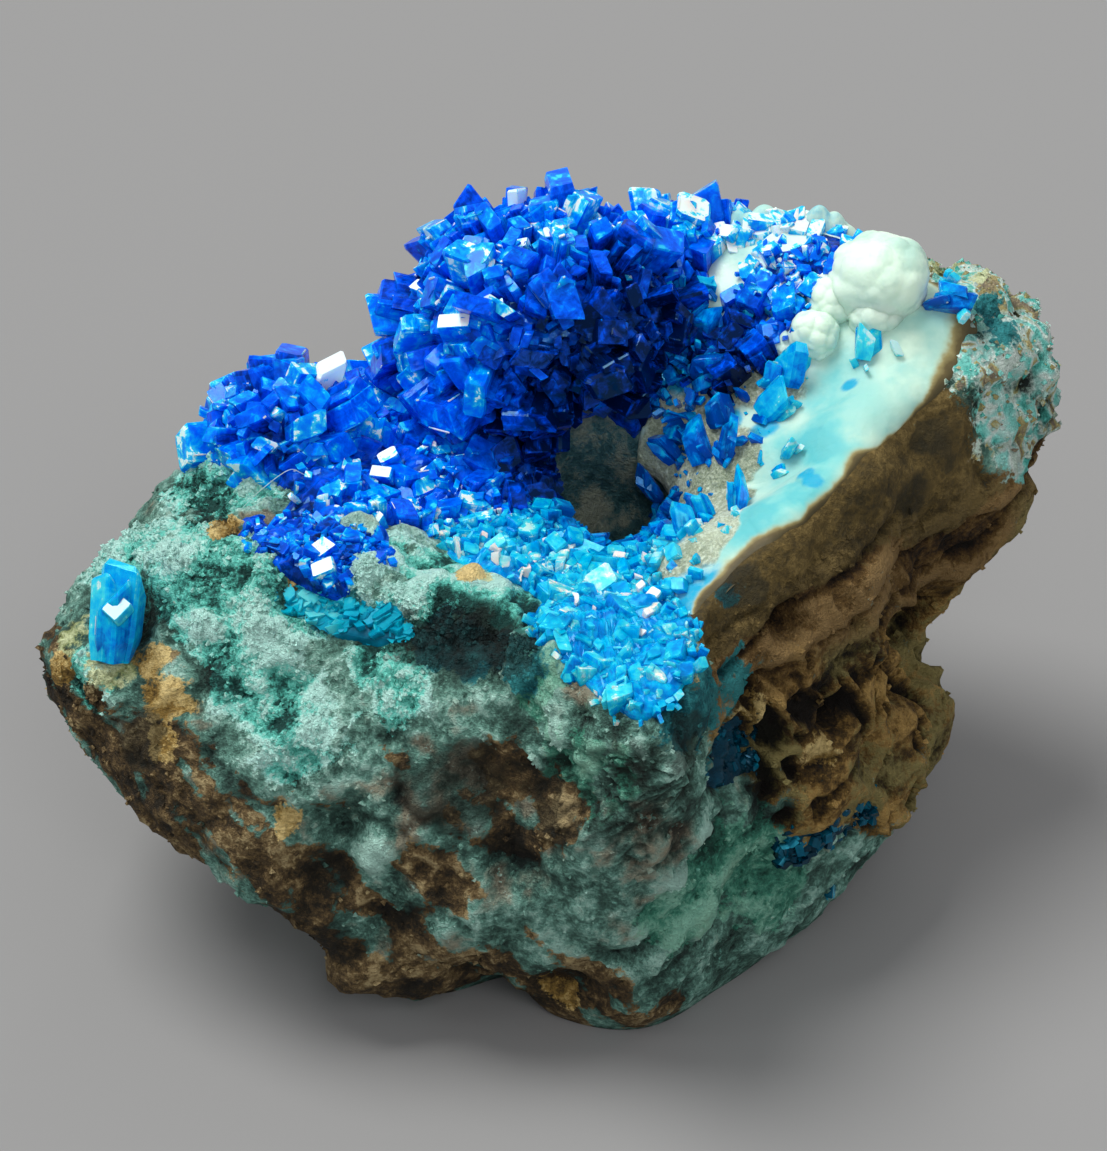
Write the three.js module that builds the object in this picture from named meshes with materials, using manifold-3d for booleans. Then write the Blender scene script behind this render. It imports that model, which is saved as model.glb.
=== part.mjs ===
// A hand specimen of veszelyite: a lump of weathered matrix rock with a vug in its top.
// The vug is lined with pale hemimorphite on one side and with blue crystal druses on the others.
// Single crystals stand on the lining.
// Units are millimetres, +Z is up, and the origin is the middle of the flat underside.
import * as THREE from 'three';
import Module from 'manifold-3d';

const wasm = await Module();
wasm.setup();

// ---- Driving dimensions ----

const NORMAL_TURN = 1.5; // the steps over which a normal is measured, in degrees and in rings
const NORMAL_STEP = 0.05;
const TINY = 1e-6;
const AXIS_X = 1.8; // the upright axis through the hole at the bottom of the vug
const AXIS_Y = 6.2;
const HOLE_FLOOR = 11.0;
const FOOT_MIDDLE = 0.55; // a ring under the rock, as a share of the foot's radius
const GAP = 0.3; // clear space between the rock and what grows on it
const CLEARANCE = 0.4; // how far a piece is grown before the next ones are cut from it
const SINK = 0.35; // how far a piece starts below the rock's surface before the rock is cut from it
const FULL_LUMPS_HEIGHT = 2.5; // lumps fade out below this height, so that the underside is flat

// The rock's outline round the axis. Each row is an azimuth in degrees, the radius of the foot, and then
// [radius, height] of the low, belly, shoulder, outer rim, inner rim, shelf, lip and wall rings.
const OUTLINE = [
  [-84, 13.0, [13.8, 1.6], [14.8, 8.0], [15.6, 14.0], [15.9, 16.4],
    [14.8, 17.4], [8.5, 16.5], [2.9, 15.5], [2.2, 13.0]],
  [-68, 11.6, [12.3, 1.8], [12.7, 7.5], [11.7, 13.5], [10.7, 16.8],
    [9.9, 17.9], [6.2, 16.8], [2.9, 15.6], [2.3, 13.0]],
  [-46, 10.4, [12.0, 2.2], [12.6, 7.0], [11.2, 13.0], [10.0, 17.4],
    [9.0, 18.8], [5.8, 17.3], [3.0, 15.8], [2.4, 13.0]],
  [-20, 8.6, [12.0, 3.2], [12.9, 6.5], [11.3, 12.5], [10.6, 17.8],
    [9.6, 19.6], [6.2, 17.8], [3.0, 16.0], [2.5, 13.0]],
  [-6, 7.8, [11.8, 3.4], [13.3, 6.6], [11.3, 10.4], [12.4, 16.5],
    [11.0, 20.2], [6.8, 18.8], [3.1, 16.2], [2.5, 13.2]],
  [6, 7.4, [11.4, 4.4], [11.3, 8.9], [15.6, 13.5], [16.0, 17.0],
    [14.0, 21.0], [7.6, 19.4], [3.1, 16.4], [2.5, 13.4]],
  [15, 7.2, [11.6, 5.0], [14.2, 9.8], [16.8, 14.6], [18.7, 17.4],
    [15.4, 22.0], [8.2, 20.2], [3.1, 16.6], [2.5, 13.5]],
  [27, 7.0, [11.2, 5.0], [14.6, 10.5], [17.0, 16.0], [16.2, 20.2],
    [14.2, 22.4], [8.2, 20.6], [3.1, 16.8], [2.5, 13.6]],
  [45, 6.6, [10.5, 4.5], [14.0, 10.5], [15.0, 16.5], [13.2, 21.0],
    [11.2, 23.0], [6.8, 20.8], [3.0, 17.2], [2.5, 13.8]],
  [62, 6.2, [9.8, 4.0], [12.8, 10.0], [13.4, 16.5], [12.0, 20.8],
    [9.8, 22.6], [5.8, 20.6], [2.9, 17.4], [2.4, 14.0]],
  [80, 6.0, [9.2, 4.0], [12.2, 10.0], [12.6, 16.0], [11.4, 20.0],
    [9.4, 21.8], [5.2, 20.2], [2.7, 17.8], [2.3, 14.0]],
  [100, 6.0, [9.2, 4.0], [12.4, 10.0], [12.6, 15.6], [11.2, 19.2],
    [9.2, 20.8], [5.0, 19.8], [2.7, 17.8], [2.3, 14.0]],
  [122, 6.0, [9.6, 4.0], [13.2, 10.0], [13.2, 14.8], [11.4, 18.0],
    [9.4, 19.2], [5.2, 18.6], [2.7, 17.4], [2.3, 14.0]],
  [144, 6.4, [10.8, 4.4], [15.0, 9.8], [14.6, 13.2], [12.2, 16.0],
    [9.8, 17.1], [5.6, 17.2], [2.8, 16.6], [2.3, 13.8]],
  [163, 7.0, [12.6, 5.0], [18.0, 10.0], [16.9, 12.9], [14.0, 15.9],
    [10.4, 17.0], [6.0, 16.8], [2.9, 16.2], [2.3, 13.6]],
  [180, 7.8, [13.8, 5.0], [20.0, 9.8], [19.4, 13.2], [16.4, 16.9],
    [11.6, 17.6], [6.4, 16.6], [3.0, 15.9], [2.3, 13.4]],
  [197, 9.0, [15.0, 5.2], [22.0, 10.3], [22.4, 13.0], [17.2, 16.8],
    [11.8, 17.5], [6.6, 16.5], [3.0, 15.7], [2.3, 13.2]],
  [210, 10.2, [15.3, 4.8], [20.6, 9.5], [20.0, 12.4], [15.2, 16.7],
    [11.0, 17.6], [6.4, 16.5], [2.9, 15.6], [2.2, 13.0]],
  [224, 11.8, [15.6, 3.5], [18.2, 7.8], [16.8, 12.1], [12.8, 16.6],
    [10.2, 17.5], [6.1, 16.4], [2.8, 15.5], [2.2, 13.0]],
  [238, 12.9, [14.9, 2.2], [16.2, 7.4], [14.8, 12.4], [11.8, 16.4],
    [9.9, 17.4], [6.0, 16.4], [2.8, 15.5], [2.2, 13.0]],
  [249, 10.8, [13.1, 2.8], [15.2, 7.4], [14.0, 12.4], [11.8, 16.2],
    [10.2, 17.2], [6.2, 16.4], [2.8, 15.5], [2.2, 13.0]],
  [261, 12.4, [13.6, 2.0], [14.4, 7.6], [13.8, 12.6], [12.6, 16.2],
    [11.4, 17.1], [6.8, 16.4], [2.8, 15.5], [2.2, 13.0]],
];

// Numbers of the rings, counted from the middle of the underside, over the rim, down to the hole's floor.
const FOOT_RING = 2;
const LAST_RING = 11;
const AZIMUTH_STEPS = 48;
const ROWS_BETWEEN_RINGS = [1, 1, 1, 2, 2, 2, 1, 2, 2, 2, 1];

// Lumps on the rock: [wave vector per millimetre, phase, height].
const LUMPS = [
  [[0.62, 0.21, -0.35], 0.9, 0.12],
  [[-0.31, 0.55, 0.48], 2.1, 0.12],
  [[0.95, -0.63, 0.4], 4.0, 0.12],
  [[-0.72, -0.98, 0.61], 1.3, 0.11],
  [[1.35, 0.52, -1.1], 5.2, 0.09],
  [[-0.55, 1.52, 1.02], 3.3, 0.08],
];

// Crusts and druses that follow the rock: azimuth range, ring range, thickness in the middle,
// and the crystals on them: how many, width, height, and a lean away from the surface's normal.
const LINING = { azimuth: [-72, 60], ring: [6.8, 9.4], thickness: 0.8, columns: 12, rows: 5 };
const DRUSES = {
  druse_rim: {
    azimuth: [63, 86], ring: [6.6, 8.4], thickness: 0.7, columns: 4, rows: 4,
    count: 9, width: 1.5, height: 0.7, lean: [0, 0, 0.4],
  },
  druse_saddle: {
    azimuth: [155, 204], ring: [7.6, 9.2], thickness: 1.0, columns: 4, rows: 3,
    count: 9, width: 1.4, height: 1.2, lean: [0, 0, 0.3],
  },
  druse_floor: {
    azimuth: [208, 284], ring: [6.9, 9.3], thickness: 0.7, columns: 6, rows: 4,
    count: 11, width: 0.9, height: 0.7, lean: [0, 0, 0.2],
  },
  druse_back: {
    azimuth: [35, 61], ring: [6.35, 7.2], thickness: 0.4, columns: 4, rows: 3,
    count: 7, width: 1.1, height: 0.4, lean: [0, -0.3, 0.2],
  },
  druse_knob: {
    azimuth: [27, 44], ring: [7.3, 8.2], thickness: 1.0, columns: 3, rows: 2,
    count: 8, width: 1.4, height: 1.1, lean: [-0.3, -0.2, 0.4],
  },
  pool_druse: {
    azimuth: [212, 230], ring: [6.0, 6.55], thickness: 0.4, columns: 2, rows: 2,
    count: 4, width: 0.8, height: 0.5, lean: [0, 0, 0.3],
  },
  pocket_druse: {
    azimuth: [-73, -62], ring: [4.5, 4.95], thickness: 0.4, columns: 2, rows: 2,
    count: 4, width: 0.8, height: 0.5, lean: [0, -0.3, 0],
  },
  vein_druse: {
    azimuth: [-58, -38], ring: [3.8, 4.15], thickness: 0.4, columns: 3, rows: 2,
    count: 5, width: 0.8, height: 0.5, lean: [0.3, -0.3, 0],
  },
};

// Druses that stand up as round masses: the middle and radii of the mass, and the crystals that
// radiate from it: how many, width, height, and how low they reach, as a height on a unit ball.
const DOMES = {
  druse_dome: {
    middle: [-0.5, 12.0, 20.2], radii: [4.9, 4.3, 3.8], columns: 12, rows: 8,
    count: 28, width: 1.9, height: 1.2, lowest: -0.1,
  },
  druse_left: {
    middle: [-10.8, 8.2, 17.3], radii: [2.5, 2.1, 1.9], columns: 9, rows: 6,
    count: 11, width: 1.4, height: 0.9, lowest: 0.1,
  },
};
const GOLDEN_TURN = 137.508; // degrees from one crystal to the next round a mass
const DOME_FOOT = 0.8; // the crystals' feet lie this share of the way out from a mass's middle

// How the crystals of a druse are spread and how they differ, all by steps that never fall into a pattern.
const SPREAD_STEPS = [0.7549, 0.5698]; // across the azimuth range and the ring range
const VARY_STEPS = [0.618, 0.414, 0.732, 0.236];
const VARY_START = 0.3;
const SIZE_VARY = 0.6;
const HEIGHT_VARY = 0.5;
const UPRIGHT_VARY = 0.4; // a crystal's tilt varies less in height than sideways
const DEPTH_SHARE = 0.7; // a crystal's depth, as a share of its width
const FOOT_SHARE = 0.4; // a crystal's foot is sunk in the crust, at this share of its thickness
const CRYSTAL_REACH = 0.12; // crystals keep this share of a druse's range from its edges
const EDGE_THICKNESS = 0.45; // a crust's thickness at its edge, as a share of its middle
const CRUST_INNER_RADIUS = 4; // a crust's nearest edge to the axis, which sets its margin in degrees
const RINGS_PER_MM = 0.4;

// Round balls of white hemimorphite on the lining: azimuth, ring, radius, and how far the middle stands out.
const BALLS = {
  white_ball: { azimuth: 23.0, ring: 7.48, radius: 1.8, rise: 1.5 },
  white_ball_small: { azimuth: 21.0, ring: 7.9, radius: 0.95, rise: 1.1 },
};
const BALL_COLUMNS = 12;
const BALL_ROWS = 7;

// Single crystals: azimuth, ring, lift of the foot off the rock, width, depth, length, twist in degrees, and
// tilt [x, y, z] added to the normal.
const SINGLE_CRYSTALS = {
  slope_crystal_01: [14.5, 8.15, 0.75, 1.7, 0.9, 1.8, 20, [0.56, 0.97, 0.6]],
  slope_crystal_02: [9.0, 8.28, 0.75, 1.4, 0.8, 2.1, 70, [1.46, 0.26, 0.68]],
  slope_crystal_03: [14.0, 8.55, 0.75, 1.0, 0.7, 1.8, 130, [0, 0.9, 0.4]],
  slope_crystal_04: [40.0, 8.45, 0.75, 1.4, 0.9, 1.9, 50, [0.33, 0.56, 0.35]],
  slope_crystal_05: [23.0, 8.95, 0.75, 1.0, 0.7, 1.9, 100, [-0.2, 0.4, 0.3]],
  slope_crystal_06: [-2.0, 8.68, 0.75, 1.0, 0.7, 2.4, 15, [0.05, 1.5, 0.6]],
  slope_crystal_07: [-6.0, 8.42, 0.75, 0.9, 0.6, 2.2, 60, [0.9, 0.6, 0.6]],
  slope_crystal_08: [-11.0, 7.85, 0.75, 0.9, 0.7, 1.9, 35, [0.9, -0.4, 0.3]],
  slope_crystal_09: [11.0, 7.66, 0.75, 1.1, 0.7, 1.8, 80, [0.34, 1.26, 0.62]],
  slope_crystal_10: [32.0, 9.5, 0.75, 1.3, 0.9, 1.8, 140, [0.3, 0.5, 0.9]],
  slope_crystal_11: [-54.0, 8.05, 0.75, 0.9, 0.6, 1.5, 25, [0, 0.93, 0.37]],
  slope_crystal_12: [-36.0, 7.85, 0.75, 0.9, 0.6, 1.9, 75, [0.56, 0.97, 0.6]],
  slope_crystal_13: [-43.0, 8.15, 0.75, 0.9, 0.6, 1.4, 120, [-0.3, 0.87, 0.25]],
  slope_crystal_14: [51.0, 8.15, 0.75, 1.4, 0.9, 1.9, 10, [0.46, 0.46, 0.43]],
  edge_crystal_back: [15.0, 7.1, 0.3, 1.4, 0.9, 1.7, 30, [0, -0.3, 0]],
  pocket_crystal_left: [203.5, 5.5, 0.3, 1.7, 0.9, 3.4, 100, [0.5, 0.8, 0]],
  pocket_crystal_right: [-42.0, 3.2, 0.3, 1.4, 0.8, 0.9, 45, [0, -0.2, 0.6]],
};
// The corners of a crystal's section, as shares of half its width and half its depth.
const SECTION = [[1, 0], [0.55, 1], [-0.55, 1], [-1, 0], [-0.55, -1], [0.55, -1]];
const CRYSTAL_FOOT = 0.9; // a crystal's section at its foot, as a share of its full size
const BEVEL_WIDTH = 0.62; // the end face of a single crystal, as a share of its width
const BEVEL_HEIGHT = 0.18; // height of the bevelled end, as a share of the length
const END_SLOPE = 0.28; // the oblique end rises by this much of the width across the crystal

// ---- The rock's surface, as a function of azimuth and ring number ----

const RINGS_AT_STATIONS = OUTLINE.map(([, foot, ...rest]) => [
  [0, 0], [foot * FOOT_MIDDLE, 0], [foot, 0], ...rest, [0, HOLE_FLOOR],
]);
const STATION_COUNT = OUTLINE.length;

const radians = (degrees) => THREE.MathUtils.degToRad(degrees);
const fraction = (value) => value - Math.floor(value);
const mix = (range, share) => range[0] + (range[1] - range[0]) * share;

// A station's azimuth in degrees, counted on past the last one for any whole number of turns.
function stationAzimuth(index) {
  const turns = Math.floor(index / STATION_COUNT);
  return OUTLINE[index - turns * STATION_COUNT][0] + 360 * turns;
}

const stationRings = (index) => RINGS_AT_STATIONS[((index % STATION_COUNT) + STATION_COUNT) % STATION_COUNT];

// A cubic between two values with given slopes, at a share t of the way.
function hermite(from, slopeFrom, to, slopeTo, t) {
  const t2 = t * t;
  const t3 = t2 * t;
  return (2 * t3 - 3 * t2 + 1) * from + (t3 - 2 * t2 + t) * slopeFrom
    + (3 * t2 - 2 * t3) * to + (t3 - t2) * slopeTo;
}

// The section at one azimuth: [radius, height] of every ring, smooth round the axis.
function sectionAt(azimuth) {
  const first = OUTLINE[0][0];
  const turned = first + 360 * fraction((azimuth - first) / 360);
  let station = 0;
  while (stationAzimuth(station + 1) <= turned) station += 1;
  const at = [-1, 0, 1, 2].map((step) => stationAzimuth(station + step));
  const rings = [-1, 0, 1, 2].map((step) => stationRings(station + step));
  const span = at[2] - at[1];
  const t = (turned - at[1]) / span;
  return rings[1].map((ring, k) => ring.map((value, part) => {
    const slopeFrom = (rings[2][k][part] - rings[0][k][part]) / (at[2] - at[0]) * span;
    const slopeTo = (rings[3][k][part] - rings[1][k][part]) / (at[3] - at[1]) * span;
    return hermite(value, slopeFrom, rings[2][k][part], slopeTo, t);
  }));
}

// A point of the section between its rings: a centripetal curve, with a flat underside and a sharp foot edge.
function alongSection(section, ring) {
  const k = Math.min(Math.floor(ring), LAST_RING - 1);
  const t = ring - k;
  const from = section[k];
  const to = section[k + 1];
  const before = section[k - 1] ?? from.map((value, part) => 2 * value - to[part]);
  const after = section[k + 2] ?? to.map((value, part) => 2 * value - from[part]);
  const reach = (a, b) => Math.sqrt(Math.hypot(b[0] - a[0], b[1] - a[1])) + TINY;
  const d0 = reach(before, from);
  const d1 = reach(from, to);
  const d2 = reach(to, after);
  return from.map((value, part) => {
    const run = to[part] - value;
    let slopeFrom = ((value - before[part]) / d0 - (to[part] - before[part]) / (d0 + d1) + run / d1) * d1;
    let slopeTo = (run / d1 - (after[part] - value) / (d1 + d2) + (after[part] - to[part]) / d2) * d1;
    if (k === FOOT_RING) slopeFrom = run;
    if (k === FOOT_RING - 1) slopeTo = run;
    if (k < FOOT_RING && part === 1) [slopeFrom, slopeTo] = [0, 0];
    return hermite(value, slopeFrom, to[part], slopeTo, t);
  });
}

function smoothPoint(azimuth, ring) {
  const [radius, height] = alongSection(sectionAt(azimuth), ring);
  const angle = radians(azimuth);
  return new THREE.Vector3(AXIS_X + radius * Math.cos(angle), AXIS_Y + radius * Math.sin(angle), height);
}

// The outward normal of the smooth surface, from small steps each way.
function normalAt(azimuth, ring) {
  if (ring <= 0) return new THREE.Vector3(0, 0, -1);
  if (ring >= LAST_RING) return new THREE.Vector3(0, 0, 1);
  const round = smoothPoint(azimuth + NORMAL_TURN, ring).sub(smoothPoint(azimuth - NORMAL_TURN, ring));
  const up = smoothPoint(azimuth, Math.min(ring + NORMAL_STEP, LAST_RING))
    .sub(smoothPoint(azimuth, Math.max(ring - NORMAL_STEP, 0)));
  return round.cross(up).normalize();
}

function lumpHeight(point) {
  const fade = THREE.MathUtils.clamp(point.z / FULL_LUMPS_HEIGHT, 0, 1);
  const sum = LUMPS.reduce((total, [wave, phase, height]) => (
    total + height * Math.sin(point.dot(new THREE.Vector3(...wave)) + phase)), 0);
  return sum * fade;
}

// A point on the rock, lifted off its surface along the normal.
function rockPoint(azimuth, ring, lift = 0) {
  const point = smoothPoint(azimuth, ring);
  return point.clone().addScaledVector(normalAt(azimuth, ring), lumpHeight(point) + lift);
}

// ---- Closed bodies ----

// A solid from a list of points and a list of triangles.
function solidFrom(points, triangles) {
  const vertProperties = new Float32Array(points.flatMap((point) => point.toArray()));
  const triVerts = new Uint32Array(triangles.flat());
  return new wasm.Manifold(new wasm.Mesh({ numProp: 3, vertProperties, triVerts }));
}

// The two triangles of a grid cell whose corners are given in turn.
const cell = (a, b, c, d) => [[a, b, c], [a, c, d]];

// The whole rock as one body, with its surface lifted by some clearance.
function rockBody(lift) {
  const rings = [];
  ROWS_BETWEEN_RINGS.forEach((rows, k) => {
    for (let row = 0; row < rows; row += 1) rings.push(k + row / rows);
  });
  rings.shift();
  const points = [rockPoint(0, 0, lift)];
  rings.forEach((ring) => {
    for (let i = 0; i < AZIMUTH_STEPS; i += 1) points.push(rockPoint(i * 360 / AZIMUTH_STEPS, ring, lift));
  });
  points.push(rockPoint(0, LAST_RING, lift));
  const at = (row, i) => 1 + row * AZIMUTH_STEPS + (i % AZIMUTH_STEPS);
  const top = points.length - 1;
  const triangles = [];
  for (let i = 0; i < AZIMUTH_STEPS; i += 1) {
    triangles.push([0, at(0, i + 1), at(0, i)]);
    triangles.push([top, at(rings.length - 1, i), at(rings.length - 1, i + 1)]);
    for (let row = 0; row + 1 < rings.length; row += 1) {
      triangles.push(...cell(at(row, i), at(row, i + 1), at(row + 1, i + 1), at(row + 1, i)));
    }
  }
  return solidFrom(points, triangles);
}

// The value at one of the steps along a range, with the first and the last pushed outwards by a margin.
function spreadOut(range, index, count, margin) {
  const push = Number(index === count) - Number(index === 0);
  return mix(range, index / count) + push * margin;
}

// A crust on the rock over a range of azimuths and rings, thickest in its middle.
function crustBody({ azimuth, ring, thickness, columns, rows }, grow) {
  const turnMargin = grow * 360 / (2 * Math.PI * CRUST_INNER_RADIUS);
  const points = [];
  [true, false].forEach((outer) => {
    for (let i = 0; i <= columns; i += 1) {
      for (let j = 0; j <= rows; j += 1) {
        const crown = Math.sin(Math.PI * i / columns) * Math.sin(Math.PI * j / rows);
        const fullness = mix([EDGE_THICKNESS, 1], Math.sqrt(Math.max(crown, 0)));
        const height = GAP + thickness * fullness + grow;
        const turn = spreadOut(azimuth, i, columns, turnMargin);
        const across = spreadOut(ring, j, rows, grow * RINGS_PER_MM);
        points.push(rockPoint(turn, across, outer ? height : -SINK));
      }
    }
  });
  const layer = (columns + 1) * (rows + 1);
  const at = (i, j, inner) => i * (rows + 1) + j + (inner ? layer : 0);
  const triangles = [];
  for (let i = 0; i < columns; i += 1) {
    for (let j = 0; j < rows; j += 1) {
      triangles.push(...cell(at(i, j), at(i + 1, j), at(i + 1, j + 1), at(i, j + 1)));
      triangles.push(...cell(at(i, j, 1), at(i, j + 1, 1), at(i + 1, j + 1, 1), at(i + 1, j, 1)));
    }
    triangles.push(...cell(at(i, 0, 1), at(i + 1, 0, 1), at(i + 1, 0), at(i, 0)));
    triangles.push(...cell(at(i, rows), at(i + 1, rows), at(i + 1, rows, 1), at(i, rows, 1)));
  }
  for (let j = 0; j < rows; j += 1) {
    triangles.push(...cell(at(0, j), at(0, j + 1), at(0, j + 1, 1), at(0, j, 1)));
    triangles.push(...cell(at(columns, j, 1), at(columns, j + 1, 1), at(columns, j + 1), at(columns, j)));
  }
  return solidFrom(points, triangles);
}

// A six-sided crystal: its foot, its axis, a twist about it, and its sizes.
// Its end is oblique, and it may be bevelled.
function crystalBody(foot, axis, { width, depth, length, twist, bevelled = false, grow = 0 }) {
  const turn = new THREE.Quaternion().setFromUnitVectors(new THREE.Vector3(0, 0, 1), axis.clone().normalize());
  turn.multiply(new THREE.Quaternion().setFromAxisAngle(new THREE.Vector3(0, 0, 1), radians(twist)));
  const points = [];
  const addLayer = (share, height, slope) => SECTION.forEach(([x, y]) => {
    const across = x * (width / 2 + grow) * share;
    const through = y * (depth / 2 + grow) * share;
    points.push(new THREE.Vector3(across, through, height + slope * across).applyQuaternion(turn).add(foot));
  });
  const top = length + grow;
  addLayer(CRYSTAL_FOOT, -grow, 0);
  addLayer(1, bevelled ? top * (1 - BEVEL_HEIGHT) : top, END_SLOPE);
  if (bevelled) addLayer(BEVEL_WIDTH, top, END_SLOPE);
  const sides = SECTION.length;
  const last = points.length - sides;
  const triangles = [];
  for (let i = 1; i + 1 < sides; i += 1) {
    triangles.push([0, i + 1, i]);
    triangles.push([last, last + i, last + i + 1]);
  }
  for (let low = 0; low < last; low += sides) {
    for (let i = 0; i < sides; i += 1) {
      const next = (i + 1) % sides;
      triangles.push(...cell(low + i, low + next, low + sides + next, low + sides + i));
    }
  }
  return solidFrom(points, triangles);
}

// Numbers from -0.5 to 0.5 that differ from one crystal to the next.
const varyFor = (i) => VARY_STEPS.map((step) => fraction(VARY_START + i * step) - 0.5);

// The crystals of a druse, spread evenly over it, with sizes and tilts that vary from one to the next.
function druseBody(druse, grow) {
  const inner = (range) => [mix(range, CRYSTAL_REACH), mix(range, 1 - CRYSTAL_REACH)];
  let body = crustBody(druse, grow);
  for (let i = 0; i < druse.count; i += 1) {
    const azimuth = mix(inner(druse.azimuth), fraction(0.5 + i * SPREAD_STEPS[0]));
    const ring = mix(inner(druse.ring), fraction(0.5 + i * SPREAD_STEPS[1]));
    const vary = varyFor(i);
    const tilt = new THREE.Vector3(vary[0], vary[1], vary[2] * UPRIGHT_VARY);
    const axis = normalAt(azimuth, ring).add(new THREE.Vector3(...druse.lean)).add(tilt);
    const width = druse.width * (1 + SIZE_VARY * vary[3]);
    const height = druse.height * (1 + HEIGHT_VARY * vary[0]);
    const foot = rockPoint(azimuth, ring, GAP + druse.thickness * FOOT_SHARE);
    body = body.add(crystalBody(foot, axis, {
      width,
      depth: width * DEPTH_SHARE,
      length: height + druse.thickness * (1 - FOOT_SHARE),
      twist: 360 * vary[1],
      grow,
    }));
  }
  return body;
}

// An oval body: its middle, its radii, and its facets round and up.
function ovalBody(middle, radii, columns, rows) {
  const points = [new THREE.Vector3(0, 0, -1)];
  for (let row = 1; row < rows; row += 1) {
    const lean = Math.PI * row / rows;
    for (let i = 0; i < columns; i += 1) {
      const angle = 2 * Math.PI * i / columns;
      const across = new THREE.Vector3(Math.cos(angle), Math.sin(angle), 0).multiplyScalar(Math.sin(lean));
      points.push(across.setZ(-Math.cos(lean)));
    }
  }
  points.push(new THREE.Vector3(0, 0, 1));
  points.forEach((point) => point.multiply(radii).add(middle));
  const at = (row, i) => 1 + row * columns + (i % columns);
  const triangles = [];
  for (let i = 0; i < columns; i += 1) {
    triangles.push([0, at(0, i + 1), at(0, i)]);
    triangles.push([points.length - 1, at(rows - 2, i), at(rows - 2, i + 1)]);
    for (let row = 0; row < rows - 2; row += 1) {
      triangles.push(...cell(at(row, i), at(row, i + 1), at(row + 1, i + 1), at(row + 1, i)));
    }
  }
  return solidFrom(points, triangles);
}

function ballBody({ azimuth, ring, radius, rise }, grow) {
  const radii = new THREE.Vector3().setScalar(radius + grow);
  return ovalBody(rockPoint(azimuth, ring, rise), radii, BALL_COLUMNS, BALL_ROWS);
}

// A round mass with crystals radiating from it, each a golden angle round from the one before.
function domeBody(dome, grow) {
  const middle = new THREE.Vector3(...dome.middle);
  const radii = new THREE.Vector3(...dome.radii);
  const sunk = dome.radii[0] * (1 - DOME_FOOT);
  let body = ovalBody(middle, radii.clone().addScalar(grow), dome.columns, dome.rows);
  for (let i = 0; i < dome.count; i += 1) {
    const height = mix([1, dome.lowest], (i + 0.5) / dome.count);
    const across = Math.sqrt(1 - height * height);
    const angle = radians(i * GOLDEN_TURN);
    const axis = new THREE.Vector3(across * Math.cos(angle), across * Math.sin(angle), height);
    const foot = axis.clone().multiply(radii).multiplyScalar(DOME_FOOT).add(middle);
    const vary = varyFor(i);
    const tilt = new THREE.Vector3(vary[0], vary[1], 0).multiplyScalar(UPRIGHT_VARY);
    body = body.add(crystalBody(foot, axis.add(tilt), {
      width: dome.width * (1 + SIZE_VARY * vary[3]),
      depth: dome.width * DEPTH_SHARE,
      length: sunk + dome.height * (1 + HEIGHT_VARY * vary[0]),
      twist: 360 * vary[1],
      grow,
    }));
  }
  return body;
}

function singleCrystalBody([azimuth, ring, lift, width, depth, length, twist, tilt], grow) {
  const axis = normalAt(azimuth, ring).add(new THREE.Vector3(...tilt));
  const foot = rockPoint(azimuth, ring, lift);
  return crystalBody(foot, axis, { width, depth, length, twist, bevelled: true, grow });
}

// ---- Putting the pieces together ----

// The largest of the bodies that a cut may leave.
function mainBody(solid) {
  return solid.decompose().reduce((best, next) => (next.volume() > best.volume() ? next : best));
}

const rockSpace = rockBody(GAP);
const placed = [];

// Cuts the rock and the pieces placed before it from a new piece, with the gap between them, and keeps it.
function place(name, makeBody, look) {
  let solid = makeBody(0).subtract(rockSpace);
  placed.forEach((piece) => {
    solid = solid.subtract(piece.space);
  });
  placed.push({ name, solid: mainBody(solid), space: makeBody(CLEARANCE), look });
}

function meshOf({ name, solid, look: { colour, roughness } }) {
  const { vertProperties, triVerts } = solid.getMesh();
  const geometry = new THREE.BufferGeometry();
  geometry.setAttribute('position', new THREE.BufferAttribute(new Float32Array(vertProperties), 3));
  geometry.setIndex(new THREE.BufferAttribute(new Uint32Array(triVerts), 1));
  geometry.computeVertexNormals();
  const mesh = new THREE.Mesh(geometry, new THREE.MeshStandardMaterial({ color: colour, roughness, metalness: 0 }));
  mesh.name = name;
  return mesh;
}

const ROCK = { colour: '#6d7257', roughness: 0.95 };
const WHITE = { colour: '#d5e6dc', roughness: 0.65 };
const DEEP_BLUE = { colour: '#0f45b5', roughness: 0.2 };
const TURQUOISE = { colour: '#1fa3cf', roughness: 0.2 };
const CRYSTAL_BLUE = { colour: '#2a86d8', roughness: 0.1 };
const LOOKS = { druse_floor: TURQUOISE, pool_druse: TURQUOISE };

Object.entries(DOMES).forEach(([name, dome]) => place(name, (grow) => domeBody(dome, grow), DEEP_BLUE));
Object.entries(DRUSES).forEach(([name, druse]) => {
  place(name, (grow) => druseBody(druse, grow), LOOKS[name] ?? DEEP_BLUE);
});
Object.entries(BALLS).forEach(([name, ball]) => place(name, (grow) => ballBody(ball, grow), WHITE));
place('white_lining', (grow) => crustBody(LINING, grow), WHITE);
Object.entries(SINGLE_CRYSTALS).forEach(([name, crystal]) => {
  place(name, (grow) => singleCrystalBody(crystal, grow), CRYSTAL_BLUE);
});

const group = new THREE.Group();
group.add(meshOf({ name: 'matrix', solid: rockBody(0), look: ROCK }));
placed.forEach((piece) => group.add(meshOf(piece)));

export default group;
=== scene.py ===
"""A hand specimen of veszelyite: weathered matrix rock with a vug in its top, lined with pale hemimorphite
and blue crystal druses. Shapes are worked out in millimetres, +Z up, from the middle of the flat underside,
and are scaled to metres when a mesh is made."""

import math
from functools import partial
from itertools import product

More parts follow.
